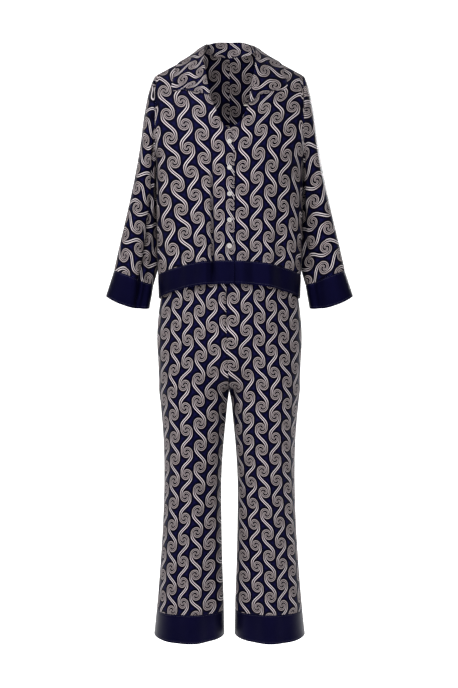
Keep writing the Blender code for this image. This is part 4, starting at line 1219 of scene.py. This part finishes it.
def make_shirt():
    for side, word in SIDES.items():
        front, back, band = "shirt_front_" + word, "shirt_back_" + word, "hem_band_front_" + word
        neckline, crowd = (NECK_RIGHT, LAP_CROWD) if side == RIGHT else (NECK_LEFT, ())
        points = shirt_panel(side, FRONT, neckline, LAP, crowd)
        wear(front, points, body_places(points, FRONT), SATIN, back, seams="bt")
        points = shirt_panel(side, BACK, NECK_BACK, 0)
        wear(back, points, body_places(points, BACK), SATIN, front, seams="bl")
        points = shirt_band([side], FRONT, LAP)
        wear(band, points, plain_place(points), NAVY, front, seams="t", thick=BAND_CLOTH)
    points = shirt_band([RIGHT, LEFT], BACK, 0)
    wear("hem_band_back", points, plain_place(points), NAVY, "shirt_back_left", seams="t", thick=BAND_CLOTH)
    points = collar_points()
    normals = grid_normals(points)
    # At the centre back the fall faces backwards
    normals = normals * np.sign(normals[-2, normals.shape[1] // 2, 1])
    place = collar_place(points)
    wear("collar", points, place, SATIN, "shirt_back_left", normals=normals, thick=COLLAR_CLOTH)


def make_arms():
    turns = np.linspace(0, 2 * math.pi, SLEEVE_COLUMNS + 1)[:-1]
    sleeve_share = spread(SLEEVE_ROWS) * (ARM_SHARE - CUFF_GAP)
    cuff_share = ARM_SHARE + spread(CUFF_ROWS) * (1 - ARM_SHARE)
    for side, word in SIDES.items():
        sleeve, cuff = "sleeve_" + word, "cuff_" + word
        for name, share, finish, rests_on, seams, thick in (
            (sleeve, sleeve_share, SATIN, "shirt_front_" + word, "bt", CLOTH),
            (cuff, cuff_share, NAVY, sleeve, "b", TUBE_CLOTH),
        ):
            points = arm(share, turns, ARM_CREASES + (RIGHT_ARM_CREASES if side == RIGHT else []))
            place = arm_place(points)
            points[..., 0] *= side
            wear(name, points, place, finish, rests_on, ring=True, seams=seams, thick=thick)


def make_trousers():
    for side, word in SIDES.items():
        for face, part in FACES.items():
            points = trouser_panel(side, face)
            run = run_of(points, 1)
            place = (run[:, -1:] - run, LEG_PRINT_FROM - points[..., 2])
            normals = panel_normals(points, face)
            wear(f"trouser_{part}_{word}", points, place, SATIN, "waistband", seams="btlr", normals=normals)
        points = leg_band(side)
        name, front = "leg_band_" + word, "trouser_front_" + word
        wear(name, points, ring_place(points), NAVY, front, ring=True, seams="t", thick=TUBE_CLOTH)
    points = waistband_ring()
    place = ring_place(points)
    wear("waistband", points, place, SATIN, "trouser_back_left", held="gathered", ring=True, seams="b")


# ---------- buttons

HOLE_RADIUS, HOLE_RING = 0.62, 1.45  # of the thread holes, and how far out they are
BUTTON_RIM, BUTTON_DISH, DISH_DEPTH, WORN_EDGE = 1.1, 0.5, 0.55, 0.5
ROUND_SIDES, HOLE_SIDES, HOLES = 40, 14, 4


def cut_with(button, kind, name, **settings):
    """Puts a modifier on the button and applies it."""
    modifier = button.modifiers.new(name, kind)
    for key, value in settings.items():
        setattr(modifier, key, value)
    bpy.context.view_layer.objects.active = button
    bpy.ops.object.modifier_apply(modifier=modifier.name)


def add_cylinder(radius, depth, sides, place=(0, 0, 0)):
    bpy.ops.object.select_all(action="DESELECT")
    bpy.ops.mesh.primitive_cylinder_add(
        vertices=sides, radius=radius * METRE, depth=depth * METRE, location=[at * METRE for at in place]
    )
    return bpy.context.active_object


def one_button():
    """A pearl button, turned with a rim, a dished middle and four holes."""
    button = add_cylinder(BUTTON_RADIUS, BUTTON_THICK, ROUND_SIDES)
    bpy.ops.object.mode_set(mode="EDIT")
    bpy.ops.mesh.select_mode(type="FACE")
    bpy.ops.mesh.select_all(action="DESELECT")
    bpy.ops.object.mode_set(mode="OBJECT")
    for face in button.data.polygons:
        face.select = face.normal.z > 0.9
    bpy.ops.object.mode_set(mode="EDIT")
    bpy.ops.mesh.inset(thickness=BUTTON_RIM * METRE)
    bpy.ops.mesh.inset(thickness=BUTTON_DISH * METRE, depth=-DISH_DEPTH * METRE)
    bpy.ops.object.mode_set(mode="OBJECT")
    cut_with(button, "BEVEL", "worn edge", width=WORN_EDGE * METRE, segments=3, limit_method="ANGLE")
    for k in range(HOLES):
        turn = math.pi / 4 + k * 2 * math.pi / HOLES
        place = HOLE_RING * math.cos(turn), HOLE_RING * math.sin(turn), 0
        drill = add_cylinder(HOLE_RADIUS, 3 * BUTTON_THICK, HOLE_SIDES, place)
        cut_with(button, "BOOLEAN", "thread hole", operation="DIFFERENCE", object=drill)
        bpy.data.objects.remove(drill, do_unlink=True)
    return button


def front_surface(x, z):
    """Outside of the right front at a place on the lap."""
    across = np.array([[abs(x) / float(along(TORSO, "half_width", z))]])
    return body_point(math.copysign(1, x), across, np.array([[z]]), FRONT)[0, 0]


def turned(vector, towards, angle):
    return vector * math.cos(angle) + towards * math.sin(angle)


def make_buttons():
    button = one_button()
    master = np.array([vert.co for vert in button.data.vertices]) / METRE
    places = {f"button_{k + 1}": (0.0, BUTTON_TOP_Z - k * BUTTON_PITCH) for k in range(BUTTON_COUNT)}
    for name, (x, z) in (places | {"button_top": TOP_BUTTON}).items():
        upward = unit(front_surface(x, z + 3) - front_surface(x, z - 3))
        sideways = unit(front_surface(x + 3, z) - front_surface(x - 3, z))
        out = unit(np.cross(sideways, upward))
        lift = BUTTON_THICK / 2 + SEAM
        if name == "button_top":
            lift += BUTTON_RADIUS * math.sin(TOP_BUTTON_LEAN)
            upward, out = turned(upward, -out, TOP_BUTTON_LEAN), turned(out, upward, TOP_BUTTON_LEAN)
        placed = front_surface(x, z) + (master + [0, 0, lift]) @ np.array([sideways, upward, out])
        mesh = button.data.copy()
        mesh.name = name + "_pearl"
        mesh.vertices.foreach_set("co", (placed * METRE).astype(np.float32).ravel())
        mesh.materials.clear()
        mesh.materials.append(PEARL)
        mesh.shade_smooth()
        mesh.set_sharp_from_angle(angle=BUTTON_SHARP)
        put_on(show(mesh.name, mesh), name)
    bpy.data.objects.remove(button, do_unlink=True)


# ---------- stitching

STITCH = np.array([[2.6], [0.8], [0.55]])  # length, width and height of a stitch, mm
STITCH_STEP = 3.7  # from one stitch to the next, mm
STITCH_LIFT = 0.12  # how far a stitch's middle is above the cloth, mm
# Rows of stitches: the pieces, which edge the row runs beside, and how far from it in mm.
# The real ones are 2 mm long and 2.4 mm apart, and they are drawn larger so that they show.
HEM_BANDS = ["hem_band_front_right", "hem_band_front_left", "hem_band_back"]
CUFFS = ["cuff_right", "cuff_left"]
LEG_BANDS = ["leg_band_right", "leg_band_left"]
SHIRT_ROWS = [
    (HEM_BANDS, "first row", 4.5),
    (HEM_BANDS, "last row", 3.0),
    (CUFFS, "last row", 5.0),
    (CUFFS, "first row", 3.0),
    (["collar"], "last row", 3.5),
    (["shirt_front_right"], "first column", 3.0),
]
TROUSER_ROWS = [(LEG_BANDS, "first row", 4.5), (LEG_BANDS, "last row", 3.0)]


def beside_edge(name, edge, inside):
    """Points and normals along a line a little inside an edge of a piece."""
    points, normals = SURFACES[name]
    if "column" in edge:
        points, normals = points.swapaxes(0, 1), normals.swapaxes(0, 1)
    elif name in CUFFS + LEG_BANDS:
        points, normals = closed(points), closed(normals)
    if "last" in edge:
        points, normals = points[::-1], normals[::-1]
    run = run_of(points, 0)
    columns = range(points.shape[1])
    line = np.array([read_line(inside, run[:, j], points[:, j]) for j in columns])
    return line, unit(np.array([read_line(inside, run[:, j], normals[:, j]) for j in columns]))


def read_line(at, run, values):
    """Reads points along a line at some length, or at several, from its start."""
    return np.stack([np.interp(at, run, values[:, k]) for k in range(3)], -1)


def make_stitches(name, rows):
    """One stitch, a small flattened loop of thread, copied along every row."""
    bpy.ops.object.select_all(action="DESELECT")
    bpy.ops.mesh.primitive_uv_sphere_add(segments=8, ring_count=4, radius=0.5)
    one = bpy.context.active_object
    shape = np.array([vert.co for vert in one.data.vertices])[:, [2, 0, 1]]
    faces = [list(face.vertices) for face in one.data.polygons]
    bpy.data.objects.remove(one, do_unlink=True)
    verts, quads = [], []
    for piece, edge, inside in [(piece, *row) for pieces, *row in rows for piece in pieces]:
        points, normals = beside_edge(piece, edge, inside)
        run = run_of(points, 0)
        stops = np.arange(STITCH_STEP, run[-1] - STITCH_STEP / 2, STITCH_STEP)
        spots = read_line(stops, run, points)
        out = unit(read_line(stops, run, normals))
        ahead = unit(read_line(stops + 0.8, run, points) - spots)
        across = unit(np.cross(out, ahead))
        for spot, *axes in zip(spots + out * STITCH_LIFT, ahead, across, out):
            quads += [[k + len(verts) * len(shape) for k in face] for face in faces]
            verts.append(spot + shape @ (np.array(axes) * STITCH))
    piece = new_piece(name, (np.concatenate(verts) * METRE).tolist(), quads, THREAD)
    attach(piece, "root")


# ---------- room, light and camera, m

FLOOR_Z = -1.6
# The floor runs from the first y to the second, and curves up into the wall at the third
FLOOR_START, FLOOR_END, WALL_Y = -6.0, 3.6, 5.0
WALL_TOP = 4.0
HALF_ROOM = 8.0
CAMERA_X, CAMERA_AWAY, CAMERA_Z = -0.00125, 2.7, -0.71
VIEW_HEIGHT = 1.72  # what the camera takes in at the garment
SENSOR = 24.0  # mm
WORLD_LIGHT = 0.3
BEND_STEPS = 13
# Each lamp: where it is, what it is aimed at, its size and its power in W
LAMPS = {
    "key": ((-1.2, -1.65, 1.1), (0, 0, -0.2), 1.6, 82),
    "fill": ((0.5, -2.5, 0.35), (0, 0, -0.25), 1.6, 34),
    "rim": ((1.6, 2.4, 0.8), (0, 0, -0.5), 1.4, 90),
}


def make_room():
    """A pale seamless floor that curves up into the wall behind, and soft studio light."""
    bend = WALL_Y - FLOOR_END
    profile = [(FLOOR_START, FLOOR_Z)]
    for turn in np.linspace(0, math.pi / 2, BEND_STEPS):
        profile.append((FLOOR_END + bend * math.sin(turn), FLOOR_Z + bend * (1 - math.cos(turn))))
    profile.append((WALL_Y, WALL_TOP))
    verts = [(x, y, z) for y, z in profile for x in (-HALF_ROOM, HALF_ROOM)]
    faces = [(2 * k, 2 * k + 1, 2 * k + 3, 2 * k + 2) for k in range(len(profile) - 1)]
    new_piece("floor", verts, faces, paper())

    world = bpy.data.worlds.new("studio")
    world.use_nodes = True
    plug(world.node_tree.nodes["Background"], Color=(1, 1, 1, 1), Strength=WORLD_LIGHT)
    bpy.context.scene.world = world
    for name, (place, aim, size, power) in LAMPS.items():
        light = bpy.data.lights.new(name, "AREA")
        light.shape, light.size, light.energy = "SQUARE", size, power
        lamp = show(name, light)
        lamp.location = place
        lamp.rotation_mode = "QUATERNION"
        lamp.rotation_quaternion = (Vector(aim) - Vector(place)).to_track_quat("-Z", "Y")

    lens = bpy.data.cameras.new("camera")
    lens.sensor_fit, lens.sensor_height = "VERTICAL", SENSOR
    lens.lens = SENSOR * CAMERA_AWAY / VIEW_HEIGHT
    camera = show("camera", lens)
    camera.location = (CAMERA_X, -CAMERA_AWAY, CAMERA_Z)
    camera.rotation_euler = (math.pi / 2, 0, 0)
    bpy.context.scene.camera = camera
    bpy.context.scene.view_settings.view_transform = "Standard"


make_shirt()
make_arms()
make_trousers()
make_buttons()
make_stitches("shirt_stitches", SHIRT_ROWS)
make_stitches("trouser_stitches", TROUSER_ROWS)
make_room()
